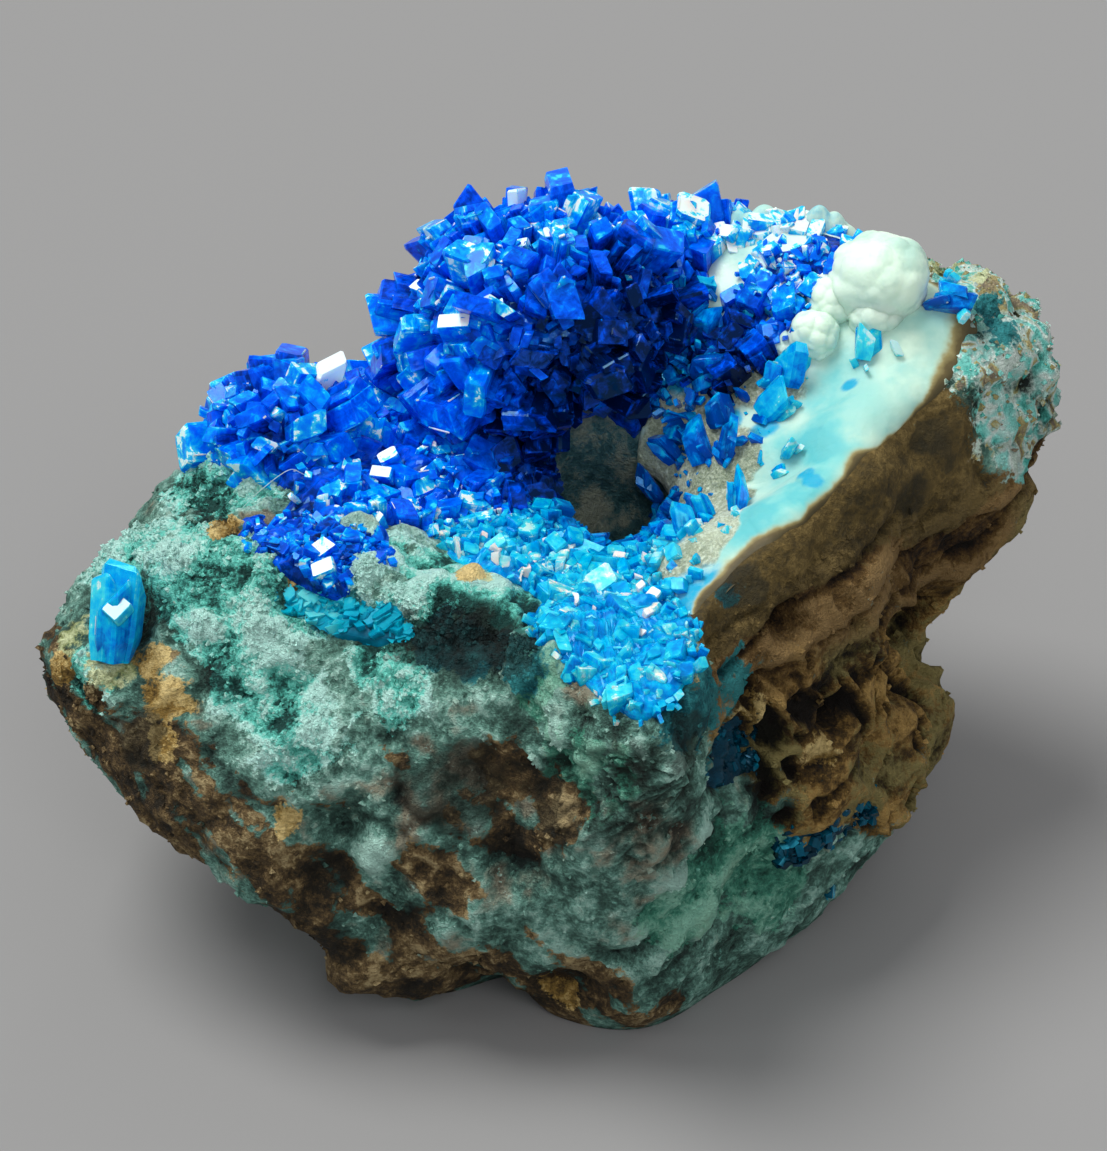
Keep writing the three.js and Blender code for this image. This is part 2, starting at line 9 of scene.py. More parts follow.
import bpy
import numpy as np
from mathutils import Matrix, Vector


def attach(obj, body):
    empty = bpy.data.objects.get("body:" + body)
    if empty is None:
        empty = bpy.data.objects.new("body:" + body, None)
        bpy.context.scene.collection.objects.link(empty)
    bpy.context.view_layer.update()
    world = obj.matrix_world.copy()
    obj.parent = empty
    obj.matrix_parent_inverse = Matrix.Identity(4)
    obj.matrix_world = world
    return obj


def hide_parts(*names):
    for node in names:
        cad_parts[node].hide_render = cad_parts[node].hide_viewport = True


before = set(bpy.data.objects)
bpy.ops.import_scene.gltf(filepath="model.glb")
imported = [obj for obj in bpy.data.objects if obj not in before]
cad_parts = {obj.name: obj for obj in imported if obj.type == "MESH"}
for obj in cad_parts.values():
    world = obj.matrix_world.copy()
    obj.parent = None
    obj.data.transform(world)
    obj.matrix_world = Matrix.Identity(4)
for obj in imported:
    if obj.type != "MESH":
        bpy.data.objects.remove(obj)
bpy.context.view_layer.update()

MM = 0.001

# ---- The rock's outline, as in the part's source ----

AXIS = (1.8, 6.2)        # the upright axis through the hole at the bottom of the vug
HOLE_FLOOR = 11.0
FOOT_MIDDLE = 0.55       # a ring under the rock, as a share of the foot's radius
FOOT_RING = 2
LAST_RING = 11
FULL_LUMPS_HEIGHT = 2.5  # lumps fade out below this height, so that the underside is flat
TURN_STEP = 1.5          # degrees and share of a ring to either side that a normal is measured over
RING_STEP = 0.05

# Azimuth in degrees, radius of the foot, then (radius, height) of the low, belly, shoulder, outer rim,
# inner rim, shelf, lip and wall rings.
OUTLINE = (
    (-84, 13.0, (13.8, 1.6), (14.8, 8.0), (15.6, 14.0), (15.9, 16.4),
     (14.8, 17.4), (8.5, 16.5), (2.9, 15.5), (2.2, 13.0)),
    (-68, 11.6, (12.3, 1.8), (12.7, 7.5), (11.7, 13.5), (10.7, 16.8),
     (9.9, 17.9), (6.2, 16.8), (2.9, 15.6), (2.3, 13.0)),
    (-46, 10.4, (12.0, 2.2), (12.6, 7.0), (11.2, 13.0), (10.0, 17.4),
     (9.0, 18.8), (5.8, 17.3), (3.0, 15.8), (2.4, 13.0)),
    (-20, 8.6, (12.0, 3.2), (12.9, 6.5), (11.3, 12.5), (10.6, 17.8),
     (9.6, 19.6), (6.2, 17.8), (3.0, 16.0), (2.5, 13.0)),
    (-6, 7.8, (11.8, 3.4), (13.3, 6.6), (11.3, 10.4), (12.4, 16.5),
     (11.0, 20.2), (6.8, 18.8), (3.1, 16.2), (2.5, 13.2)),
    (6, 7.4, (11.4, 4.4), (11.3, 8.9), (15.6, 13.5), (16.0, 17.0),
     (14.0, 21.0), (7.6, 19.4), (3.1, 16.4), (2.5, 13.4)),
    (15, 7.2, (11.6, 5.0), (14.2, 9.8), (16.8, 14.6), (18.7, 17.4),
     (15.4, 22.0), (8.2, 20.2), (3.1, 16.6), (2.5, 13.5)),
    (27, 7.0, (11.2, 5.0), (14.6, 10.5), (17.0, 16.0), (16.2, 20.2),
     (14.2, 22.4), (8.2, 20.6), (3.1, 16.8), (2.5, 13.6)),
    (45, 6.6, (10.5, 4.5), (14.0, 10.5), (15.0, 16.5), (13.2, 21.0),
     (11.2, 23.0), (6.8, 20.8), (3.0, 17.2), (2.5, 13.8)),
    (62, 6.2, (9.8, 4.0), (12.8, 10.0), (13.4, 16.5), (12.0, 20.8),
     (9.8, 22.6), (5.8, 20.6), (2.9, 17.4), (2.4, 14.0)),
    (80, 6.0, (9.2, 4.0), (12.2, 10.0), (12.6, 16.0), (11.4, 20.0),
     (9.4, 21.8), (5.2, 20.2), (2.7, 17.8), (2.3, 14.0)),
    (100, 6.0, (9.2, 4.0), (12.4, 10.0), (12.6, 15.6), (11.2, 19.2),
     (9.2, 20.8), (5.0, 19.8), (2.7, 17.8), (2.3, 14.0)),
    (122, 6.0, (9.6, 4.0), (13.2, 10.0), (13.2, 14.8), (11.4, 18.0),
     (9.4, 19.2), (5.2, 18.6), (2.7, 17.4), (2.3, 14.0)),
    (144, 6.4, (10.8, 4.4), (15.0, 9.8), (14.6, 13.2), (12.2, 16.0),
     (9.8, 17.1), (5.6, 17.2), (2.8, 16.6), (2.3, 13.8)),
    (163, 7.0, (12.6, 5.0), (18.0, 10.0), (16.9, 12.9), (14.0, 15.9),
     (10.4, 17.0), (6.0, 16.8), (2.9, 16.2), (2.3, 13.6)),
    (180, 7.8, (13.8, 5.0), (20.0, 9.8), (19.4, 13.2), (16.4, 16.9),
     (11.6, 17.6), (6.4, 16.6), (3.0, 15.9), (2.3, 13.4)),
    (197, 9.0, (15.0, 5.2), (22.0, 10.3), (22.4, 13.0), (17.2, 16.8),
     (11.8, 17.5), (6.6, 16.5), (3.0, 15.7), (2.3, 13.2)),
    (210, 10.2, (15.3, 4.8), (20.6, 9.5), (20.0, 12.4), (15.2, 16.7),
     (11.0, 17.6), (6.4, 16.5), (2.9, 15.6), (2.2, 13.0)),
    (224, 11.8, (15.6, 3.5), (18.2, 7.8), (16.8, 12.1), (12.8, 16.6),
     (10.2, 17.5), (6.1, 16.4), (2.8, 15.5), (2.2, 13.0)),
    (238, 12.9, (14.9, 2.2), (16.2, 7.4), (14.8, 12.4), (11.8, 16.4),
     (9.9, 17.4), (6.0, 16.4), (2.8, 15.5), (2.2, 13.0)),
    (249, 10.8, (13.1, 2.8), (15.2, 7.4), (14.0, 12.4), (11.8, 16.2),
     (10.2, 17.2), (6.2, 16.4), (2.8, 15.5), (2.2, 13.0)),
    (261, 12.4, (13.6, 2.0), (14.4, 7.6), (13.8, 12.6), (12.6, 16.2),
     (11.4, 17.1), (6.8, 16.4), (2.8, 15.5), (2.2, 13.0)),
)

# Lumps on the rock: wave vector per millimetre, phase, height.
LUMPS = (
    ((0.62, 0.21, -0.35), 0.9, 0.12),
    ((-0.31, 0.55, 0.48), 2.1, 0.12),
    ((0.95, -0.63, 0.4), 4.0, 0.12),
    ((-0.72, -0.98, 0.61), 1.3, 0.11),
    ((1.35, 0.52, -1.1), 5.2, 0.09),
    ((-0.55, 1.52, 1.02), 3.3, 0.08),
)


# ---- Numbers ----

def mix(a, b, share):
    """The value at a share of the way from a to b."""
    return a + (b - a) * share


def ease(low, high, value):
    """0 below low, 1 above high, and an S-shaped rise between them."""
    share = np.clip((value - low) / (high - low), 0, 1)
    return share * share * (3 - 2 * share)


def unit(vectors):
    """Vectors divided by their own lengths."""
    return vectors / np.maximum(np.linalg.norm(vectors, axis=-1, keepdims=True), 1e-9)


def turn_from(azimuth, middle):
    """The angle from the middle to the azimuth, from -180 to 180 degrees."""
    return (azimuth - middle + 180) % 360 - 180


# A cell's three whole coordinates and the seed are multiplied by these, and the sum's bits are then mixed.
CELL_FACTORS = (np.uint64(374761393), np.uint64(668265263), np.uint64(2147483629))
SEED_FACTOR = 974711
LOW_BITS = np.uint64(0xFFFFFFFF)
MIXING = ((np.uint64(13), np.uint64(1274126177)), (np.uint64(15), np.uint64(2246822519)))  # shift, factor
LAST_SHIFT = np.uint64(16)


def scatter(cell, seed):
    """A number from 0 to 1 for each whole-number cell: its coordinates are multiplied, added and mixed."""
    cell = np.asarray(cell).astype(np.int64).astype(np.uint64)
    number = cell[..., 0] * CELL_FACTORS[0] + cell[..., 1] * CELL_FACTORS[1]
    number = (number + cell[..., 2] * CELL_FACTORS[2] + np.uint64(seed * SEED_FACTOR)) & LOW_BITS
    for shift, factor in MIXING:
        number = ((number ^ (number >> shift)) * factor) & LOW_BITS
    return (number ^ (number >> LAST_SHIFT)) / float(LOW_BITS)


NOISE_HEIGHT = 1.7  # brings the noise to about -1 to 1


def noise(points, seed=0):
    """Smooth noise, about -1 to 1: each corner of a cell has a random slope, and the eight slopes' heights
    are blended by the place in the cell."""
    base = np.floor(points)
    place = points - base
    blend = place ** 3 * (place * (place * 6 - 15) + 10)
    total = np.zeros(points.shape[:-1])
    for corner in product((0, 1), repeat=3):
        corner = np.array(corner)
        slope = np.stack([scatter(base + corner, seed + k) for k in range(3)], -1) * 2 - 1
        weight = np.prod(np.where(corner == 1, blend, 1 - blend), -1)
        total += weight * ((place - corner) * slope).sum(-1)
    return total * NOISE_HEIGHT


def octave_mean(points, size, octaves, seed, keep, shift, seed_step, shape):
    """The weighted mean of shaped noise over octaves: each is half as large as the one before, weighs `keep`
    times as much, and is moved aside so that their cells don't line up."""
    total, height, whole = 0.0, 1.0, 0.0
    for octave in range(octaves):
        value = noise(points * (2 ** octave / size) + shift * octave, seed + seed_step * octave)
        total = total + height * shape(value)
        whole += height
        height *= keep
    return total / whole


def clouds(points, size, octaves=4, seed=0, keep=0.5):
    """Noise whose largest features are `size` millimetres."""
    return octave_mean(points, size, octaves, seed, keep, 7.3, 11, lambda value: value)


def ridges(points, size, octaves=4, seed=0):
    """Sharp crests, 0 to 1: the square of one minus the size of smooth noise."""
    return octave_mean(points, size, octaves, seed, 0.5, 3.1, 13, lambda value: (1 - np.abs(value)) ** 2)


def cells(points, size, seed=0):
    """Cells round scattered middles: the distances to the nearest and to the next middle, in cell sizes,
    and a number from 0 to 1 that belongs to the nearest one."""
    points = points / size
    base = np.floor(points)
    near = np.full(points.shape[:-1], 9.0)
    second = near.copy()
    number = np.zeros(points.shape[:-1])
    for step in product((-1, 0, 1), repeat=3):
        cell = base + np.array(step)
        middle = cell + np.stack([scatter(cell, seed + k) for k in range(3)], -1)
        distance = np.linalg.norm(points - middle, axis=-1)
        closer = distance < near
        second = np.where(closer, near, np.minimum(second, distance))
        number = np.where(closer, scatter(cell, seed + 5), number)
        near = np.where(closer, distance, near)
    return near, second, number


# ---- The rock's surface, by azimuth and ring number ----

def outline_table():
    """The stations' azimuths and their [radius, height] for every ring, carried on past both ends."""
    azimuth = np.array([row[0] for row in OUTLINE], float)
    rings = np.array([
        [(0, 0), (row[1] * FOOT_MIDDLE, 0), (row[1], 0), *row[2:], (0, HOLE_FLOOR)] for row in OUTLINE
    ], float)
    azimuth = np.concatenate([azimuth[-1:] - 360, azimuth, azimuth[:2] + 360])
    return azimuth, np.concatenate([rings[-1:], rings, rings[:2]])


STATIONS, RINGS = outline_table()


def hermite(start, slope_start, end, slope_end, t):
    """The cubic from start to end with those slopes."""
    return ((2 * t ** 3 - 3 * t ** 2 + 1) * start + (t ** 3 - 2 * t ** 2 + t) * slope_start
            + (3 * t ** 2 - 2 * t ** 3) * end + (t ** 3 - t ** 2) * slope_end)


def ring_at(azimuth, ring_number):
    """[radius, height] of whole-numbered rings: a cubic through the stations, round the axis."""
    first = STATIONS[1]
    turned = first + (azimuth - first) % 360
    i = np.searchsorted(STATIONS[1:-1], turned, side="right") - 1
    at = [STATIONS[i + step] for step in range(4)]
    value = [RINGS[i + step, ring_number] for step in range(4)]
    span = at[2] - at[1]
    slope_start = (value[2] - value[0]) * (span / (at[2] - at[0]))[..., None]
    slope_end = (value[3] - value[1]) * (span / (at[3] - at[1]))[..., None]
    return hermite(value[1], slope_start, value[2], slope_end, ((turned - at[1]) / span)[..., None])


def section_point(azimuth, ring):
    """[radius, height] between rings: a centripetal curve through them, with a flat underside and a sharp
    edge at the foot."""
    k = np.clip(np.floor(ring).astype(int), 0, LAST_RING - 1)
    t = (ring - k)[..., None]
    start, end = ring_at(azimuth, k), ring_at(azimuth, k + 1)
    before = np.where((k > 0)[..., None], ring_at(azimuth, np.maximum(k - 1, 0)), 2 * start - end)
    after = np.where((k < LAST_RING - 1)[..., None],
                     ring_at(azimuth, np.minimum(k + 2, LAST_RING)), 2 * end - start)
    reach = lambda a, b: np.sqrt(np.linalg.norm(b - a, axis=-1, keepdims=True)) + 1e-6
    d0, d1, d2 = reach(before, start), reach(start, end), reach(end, after)
    run = end - start
    slope_start = ((start - before) / d0 - (end - before) / (d0 + d1) + run / d1) * d1
    slope_end = (run / d1 - (after - start) / (d1 + d2) + (after - end) / d2) * d1
    slope_start = np.where((k == FOOT_RING)[..., None], run, slope_start)
    slope_end = np.where((k == FOOT_RING - 1)[..., None], run, slope_end)
    flat = np.stack([np.ones_like(ring), np.where(k < FOOT_RING, 0.0, 1.0)], -1)
    return hermite(start, slope_start * flat, end, slope_end * flat, t)


def smooth_point(azimuth, ring):
    """A point of the rock without its lumps: the section's radius, turned by the azimuth round the axis, and
    its height."""
    azimuth, ring = np.broadcast_arrays(np.asarray(azimuth, float), np.asarray(ring, float))
    section = section_point(azimuth, ring)
    angle = np.radians(azimuth)
    return np.stack([AXIS[0] + section[..., 0] * np.cos(angle),
                     AXIS[1] + section[..., 0] * np.sin(angle), section[..., 1]], -1)


def normal_at(azimuth, ring):
    """The outward normal: the cross product of small steps round and up the surface."""
    azimuth, ring = np.broadcast_arrays(np.asarray(azimuth, float), np.asarray(ring, float))
    round_it = smooth_point(azimuth + TURN_STEP, ring) - smooth_point(azimuth - TURN_STEP, ring)
    up_it = (smooth_point(azimuth, np.minimum(ring + RING_STEP, LAST_RING))
             - smooth_point(azimuth, np.maximum(ring - RING_STEP, 0)))
    return unit(np.cross(round_it, up_it))


def lump_height(points):
    """The sum of sine waves, one for each lump, which fades out towards the floor."""
    fade = np.clip(points[..., 2] / FULL_LUMPS_HEIGHT, 0, 1)
    return fade * sum(height * np.sin(points @ np.array(wave) + phase) for wave, phase, height in LUMPS)


def rock_point(azimuth, ring, lift=0.0):
    """A point on the rock, lifted off its surface along the normal, and that normal."""
    points = smooth_point(azimuth, ring)
    normals = normal_at(azimuth, ring)
    return points + normals * (lump_height(points) + lift)[..., None], normals


def one_place(azimuth, ring, lift, count=1):
    """The same point on the rock, and its normal, as many times as asked."""
    return rock_point(np.full(count, float(azimuth)), np.full(count, float(ring)), np.full(count, lift))


# ---- Meshes ----

def make_piece(name, part, material, nodes=(), soft=True):
    """A mesh object from a part: points in millimetres, arrays of face corners and fields, which are point
    values. Crystals, which aren't soft, also have UVs and one value for each face. The piece rides on the
    root and stands for the CAD nodes named."""
    mesh = bpy.data.meshes.new(name)
    points, faces = part["points"], part["faces"]
    corners = np.concatenate([block.ravel() for block in faces]).astype(np.int32)
    sizes = np.concatenate([np.full(len(block), block.shape[1]) for block in faces])
    starts = np.concatenate([[0], np.cumsum(sizes)[:-1]]).astype(np.int32)
    mesh.vertices.add(len(points))
    mesh.vertices.foreach_set("co", (points * MM).astype(np.float32).ravel())
    mesh.loops.add(len(corners))
    mesh.loops.foreach_set("vertex_index", corners)
    mesh.polygons.add(len(sizes))
    mesh.polygons.foreach_set("loop_start", starts)
    mesh.polygons.foreach_set("use_smooth", np.full(len(sizes), soft))
    for field, values in part["fields"].items():
        mesh.attributes.new(field, "FLOAT", "POINT").data.foreach_set("value", values.astype(np.float32))
    if "facets" in part and not soft:
        facets, uv = part["facets"].astype(np.float32), part["uv"].astype(np.float32)
        mesh.attributes.new("facet", "FLOAT", "FACE").data.foreach_set("value", facets)
        mesh.uv_layers.new(name="UVMap").data.foreach_set("uv", uv.ravel())
    mesh.materials.append(material)
    mesh.update(calc_edges=True)
    mesh.validate()
    piece = bpy.data.objects.new(name, mesh)
    bpy.context.scene.collection.objects.link(piece)
    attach(piece, "root")
    if nodes:
        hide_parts(*nodes)


def grid_faces(rows, columns, closed=False):
    """Four-cornered faces of a grid of points, numbered row by row. Closed grids join the last column to
    the first."""
    row, column = np.meshgrid(np.arange(rows - 1), np.arange(columns - (0 if closed else 1)), indexing="ij")
    after = (column + 1) % columns
    low, high = row * columns, (row + 1) * columns
    return np.stack([low + column, low + after, high + after, high + column], -1).reshape(-1, 4)


def fan_faces(pole, ring, outward):
    """Triangles from a pole to each side of a closed ring of points."""
    after = np.roll(ring, -1)
    apex = np.full(len(ring), pole)
    return np.stack([apex, ring, after] if outward else [apex, after, ring], -1)


def closed_faces(rows, columns):
    """Faces of a closed grid of points with a pole at either end. The poles are the last two points."""
    count = rows * columns
    return [grid_faces(rows, columns, closed=True), fan_faces(count, np.arange(columns), outward=False),
            fan_faces(count + 1, np.arange(count - columns, count), outward=True)]


def sheet_faces(columns, rows):
    """Faces of a closed sheet: the grid of its top, that of its underside, whose points follow those of the
    top, and a strip round the edge."""
    count = columns * rows
    grid = np.arange(count).reshape(columns, rows)
    edge = np.concatenate([grid[:-1, 0], grid[-1, :-1], grid[:0:-1, -1], grid[0, :0:-1]])
    after = np.roll(edge, -1)
    top = grid_faces(columns, rows)
    return [top[:, ::-1], top + count, np.stack([edge + count, after + count, after, edge], -1)]


def sheet_places(azimuths, rings, columns, rows):
    """A sheet's grid of azimuths and rings, and each point's place across and along it, from -1 to 1."""
    ends = ((azimuths, rings), ((-1, 1), (-1, 1)))
    grids = [np.meshgrid(np.linspace(*first, columns), np.linspace(*second, rows), indexing="ij")
             for first, second in ends]
    return *grids[0], *grids[1]


def joined(*parts):
    """One part from several. Their points, faces and fields follow one another, with the corner numbers
    moved on."""
    points = np.concatenate([part["points"] for part in parts])
    first = np.cumsum([0] + [len(part["points"]) for part in parts[:-1]])
    faces = [block + start for part, start in zip(parts, first) for block in part["faces"]]
    fields = {key: np.concatenate([part["fields"][key] for part in parts]) for key in parts[0]["fields"]}
    return {"points": points, "faces": faces, "fields": fields,
            "uv": np.concatenate([part["uv"] for part in parts]),
            "facets": np.concatenate([part["facets"] for part in parts])}


def unmarked(faces):
    """UVs and face values for a part that has no crystal faces."""
    return {"uv": np.zeros((sum(block.size for block in faces), 2)),
            "facets": np.full(sum(len(block) for block in faces), 0.5)}


# ---- The rock ----

ROCK_ROWS = (3, 5, 8, 30, 30, 28, 16, 36, 22, 14, 12)  # rows of points between each ring and the next
FRONT = (178.0, 400.0)                                 # azimuths where the columns are closest together
FRONT_COLUMNS = 330
BACK_COLUMNS = 130

# Round patches on the rock: azimuth, ring, radius.
RUST = (
    (233, 3.2, 2.6), (229, 3.7, 2.6), (225, 4.2, 2.4), (219, 4.5, 2.4), (240, 3.2, 1.9), (244, 2.6, 1.8),
    (262, 3.0, 2.4), (-86, 2.9, 1.6), (212, 4.9, 2.6), (222, 4.3, 2.7), (216, 4.1, 2.6), (205, 4.3, 2.8),
    (231, 3.9, 2.2), (232, 4.75, 1.2), (213, 5.15, 1.1), (255, 5.15, 1.6), (262, 4.95, 1.2), (248, 4.4, 1.8),
    (256, 4.5, 1.6), (243, 3.7, 1.8), (252, 3.4, 1.8), (196, 4.3, 2.8), (186, 4.4, 2.6), (268, 3.3, 1.6),
    (238, 5.15, 0.7),
)
GOLD = (
    (209, 5.3, 1.3), (206, 5.45, 0.9), (212, 5.0, 0.9), (195, 6.45, 0.9), (208, 6.55, 0.8), (232, 7.3, 0.7),
    (262, 3.0, 0.8), (226, 4.6, 0.7), (199, 5.1, 0.7), (-77, 6.4, 0.7), (-62, 4.95, 1.0), (-50, 4.6, 0.8),
)
NO_RUST = ((223, 5.3, 2.1), (228, 5.9, 1.6), (206, 5.9, 2.2))
LIME = ((204, 5.3, 1.1), (197, 5.3, 0.9), (209, 5.4, 0.7), (232.5, 7.4, 0.8), (21, 6.95, 0.8), (26, 6.9, 0.6))
CRACKLED = ((-88, 5.4, 2.2), (-84, 4.6, 2.2), (265, 4.9, 1.8), (-80, 5.1, 1.6))
# Painted shadows: patches where the rock's colour is painted nearly black, as shade.
PAINTED_SHADOWS = (
    (209, 4.95, 1.4), (248, 5.0, 2.0), (-3, 6.6, 1.1), (-10, 6.2, 1.1), (241, 6.35, 1.6), (250, 6.5, 1.5),
    (-80, 5.8, 1.0), (232, 6.05, 1.2), (-60, 6.70, 1.1),
)
PALE = (
    (223, 5.3, 2.0), (210, 5.9, 2.6), (199, 6.15, 2.4), (215, 6.2, 1.4), (226, 6.6, 1.5), (232, 6.9, 1.5),
    (240, 7.1, 1.2), (235, 5.6, 1.2), (228, 5.85, 1.3), (190, 5.8, 2.2), (217, 6.8, 1.2), (180, 6.2, 2.0),
    (214, 7.1, 1.2), (222, 7.3, 1.4), (230, 7.5, 1.3), (238, 7.4, 1.3), (247, 7.3, 1.2), (255, 7.1, 1.0),
    (205, 6.6, 1.4), (186, 6.5, 1.6), (203, 5.2, 1.2), (215, 5.5, 1.2),
)
TEAL = (
    (-74, 5.8, 1.9), (-66, 5.4, 1.3), (238, 6.25, 1.5), (246, 6.3, 1.4), (-70, 4.8, 1.5),
    (220, 6.15, 1.3), (-80, 6.4, 1.4), (255, 6.3, 1.3), (12, 6.9, 0.9), (16, 7.0, 0.7), (-63, 6.75, 0.7),
)
VERDIGRIS = ((-68, 4.0, 2.6), (-76, 3.9, 2.2), (-58, 3.6, 2.0), (266, 5.5, 2.0), (258, 6.0, 1.6))
# Where the rock's colours are lighter or darker: azimuth, ring, radius, change.
SHADES = (
    (223.5, 5.3, 2.4, 0.42), (208, 6.0, 2.6, 0.24), (216, 5.7, 1.8, 0.20), (-70, 3.9, 3.0, 0.16),
    (262, 5.6, 2.0, 0.08), (266, 4.9, 2.4, 0.12), (-57, 3.7, 2.0, 0.12),
    (207, 4.7, 2.2, -0.10), (-50, 4.4, 2.2, -0.08), (225, 6.9, 1.6, 0.12), (21, 6.6, 2.4, 0.12),
)
# Lumps and hollows: azimuth, ring, radius, height.
SHAPES = (
    (223, 5.3, 1.5, 0.9), (-8, 4.2, 1.5, 0.2), (-43, 4.8, 0.9, -1.8), (-50, 5.7, 0.9, -1.7),
    (-66, 4.75, 1.9, -1.4), (-4, 4.95, 1.7, -1.3), (-20, 4.6, 1.1, -1.5), (-35, 4.4, 0.9, -0.9),
    (214, 6.15, 1.4, -1.0), (220, 6.1, 1.5, -1.1), (227, 6.2, 1.4, -1.0), (200, 5.6, 1.9, -1.2),
    (-62, 4.95, 1.0, 0.6), (-29, 5.0, 1.1, 0.5), (229.5, 3.6, 2.0, 0.9), (233, 3.2, 1.8, 0.9),
    (240, 3.0, 1.6, 0.5), (225, 3.9, 1.8, 0.4), (-12, 5.35, 1.5, 0.6), (0, 5.2, 1.4, 0.5),
    (232, 6.9, 1.6, 0.5), (240, 6.8, 1.3, 0.4), (12, 6.2, 1.6, -0.6), (24, 6.3, 1.2, -0.5),
    (232, 4.6, 1.3, -0.8), (256, 4.4, 1.7, -0.9), (251, 5.1, 1.4, -0.6), (-60, 5.2, 1.3, -0.7),
    (209, 6.75, 1.7, -0.6), (198, 6.9, 1.5, -0.7), (-10, 5.5, 1.2, 0.5), (8, 5.6, 1.3, -0.7),
    (262, 3.1, 1.8, -0.9), (196, 4.5, 1.5, -0.7),
)


def rock_columns():
    """Azimuths of the columns: even steps in front, and wider even steps behind."""
    front = np.linspace(*FRONT, FRONT_COLUMNS, endpoint=False)
    back = np.linspace(FRONT[1], FRONT[0] + 360, BACK_COLUMNS, endpoint=False)
    return np.concatenate([front, back])


def rock_rings():
    """Ring numbers of the rows between the two poles."""
    rings = [k + np.arange(rows) / rows for k, rows in enumerate(ROCK_ROWS)]
    return np.concatenate(rings)[1:]


def inside(points, patches):
    """How far inside the nearest of some round patches a point is: 1 in its middle, 0 at its edge."""
    depth = np.full(points.shape[:-1], -9.0)
    for azimuth, ring, radius in patches:
        middle = smooth_point(azimuth, ring)
        depth = np.maximum(depth, 1 - np.linalg.norm(points - middle, axis=-1) / radius)
    return depth


STREAK_WAY = unit(np.array([0.70, -0.15, -0.70]))
STREAK_PULL = 0.7  # the share by which places are moved together along the streaks


def streaks(points, size, seed):
    """Clouds drawn out along the streak way: places are moved together along it."""
    along = points @ STREAK_WAY
    return clouds(points - STREAK_PULL * along[..., None] * STREAK_WAY, size, 4, seed, 0.6)


def crackle(points):
    """1 along thin lines between cells of two sizes, and 0 inside the cells."""
    lines = 0.0
    for size, seed in ((1.6, 151), (0.9, 161)):
        near, second, _ = cells(points + 0.4 * noise(points / 1.2, seed)[..., None], size, seed)
        lines = np.maximum(lines, 1 - ease(0.02, 0.16, second - near))
    return lines


# Sectors of the rock: middle azimuth, half width, softness of the edge and how much it wavers, in degrees.
BROKEN_SECTOR = (-20, 54, 3, 7)
OLIVE_SECTOR = (-33, 43, 4, 5)
CREST_SECTOR = (20, 17, 3, 4)
# The rings between which a kind of surface begins, or ends.
BROKEN_TO = (5.95, 6.25)
OLIVE_FROM = (5.62, 5.92)
CREST_FROM = (5.55, 5.85)
LAYERS_FROM = (4.95, 5.45)
INNER_FROM = (7.6, 8.2)


def rock_zones(azimuth, ring, points):
    """The kinds of surface and the patches of painted shadow, each from 0 to 1, with edges that wander by
    noise.
    """
    wander = clouds(points, 2.8, 5, 5, 0.6)
    fray = clouds(points, 0.9, 3, 9)
    spot = lambda patches: ease(-0.45, 0.55, inside(points, patches) + 1.1 * wander + 0.4 * fray)

    def sector(middle, half, edge, waver):
        """1 within half a width of the middle azimuth, with a soft edge that wavers, all in degrees."""
        return ease(-edge, edge, half - np.abs(turn_from(azimuth, middle)) + waver * wander)

    low_edge = 4.0 - 0.03 * (turn_from(azimuth, 0) + 48)
    broken = sector(*BROKEN_SECTOR) * ease(-0.12, 0.12, ring - low_edge + 0.4 * wander)
    broken = broken * (1 - ease(*BROKEN_TO, ring + 0.2 * fray))
    olive = sector(*OLIVE_SECTOR) * ease(*OLIVE_FROM, ring + 0.25 * wander)
    crest = sector(*CREST_SECTOR) * ease(*CREST_FROM, ring + 0.4 * wander)
    clean = 1 - ease(0.0, 0.4, inside(points, NO_RUST) + 0.5 * wander)
    rusty = 0.9 * inside(points, RUST) + 1.9 * streaks(points, 1.6, 15) + 0.3 * fray
    return {
        "broken": broken, "olive": olive * (1 - crest), "crest": crest, "gold": spot(GOLD),
        "pale": spot(PALE), "rust": clean * ease(-0.20, 0.50, rusty), "teal": spot(TEAL),
        "verdigris": spot(VERDIGRIS), "lime": spot(LIME), "dusk": spot(PAINTED_SHADOWS),
        "layers": ease(*LAYERS_FROM, ring + 0.4 * wander),
        "blotch": ease(-0.55, 0.55, clouds(points, 1.3, 4, 121, 0.62)),
        "broad": ease(-0.5, 0.5, clouds(points, 4.5, 4, 131, 0.58)),
        "crack": crackle(points) * spot(CRACKLED), "hue": cells(points + 0.5 * fray[..., None], 0.5, 141)[2],
        "inner": ease(*INNER_FROM, ring),
    }


# The layers of the broken face: along them, across them, and out of the face.
LAYER_FRAME = np.linalg.qr(np.array([[0.70, -0.12, 0.75], [0.68, -0.15, -0.60], [0.20, 0.97, 0.0]]))[0]


def domed(near):
    """A round bump over each cell, from the distance to its middle."""
    return np.clip(1 - near * near * 1.6, 0, 1)


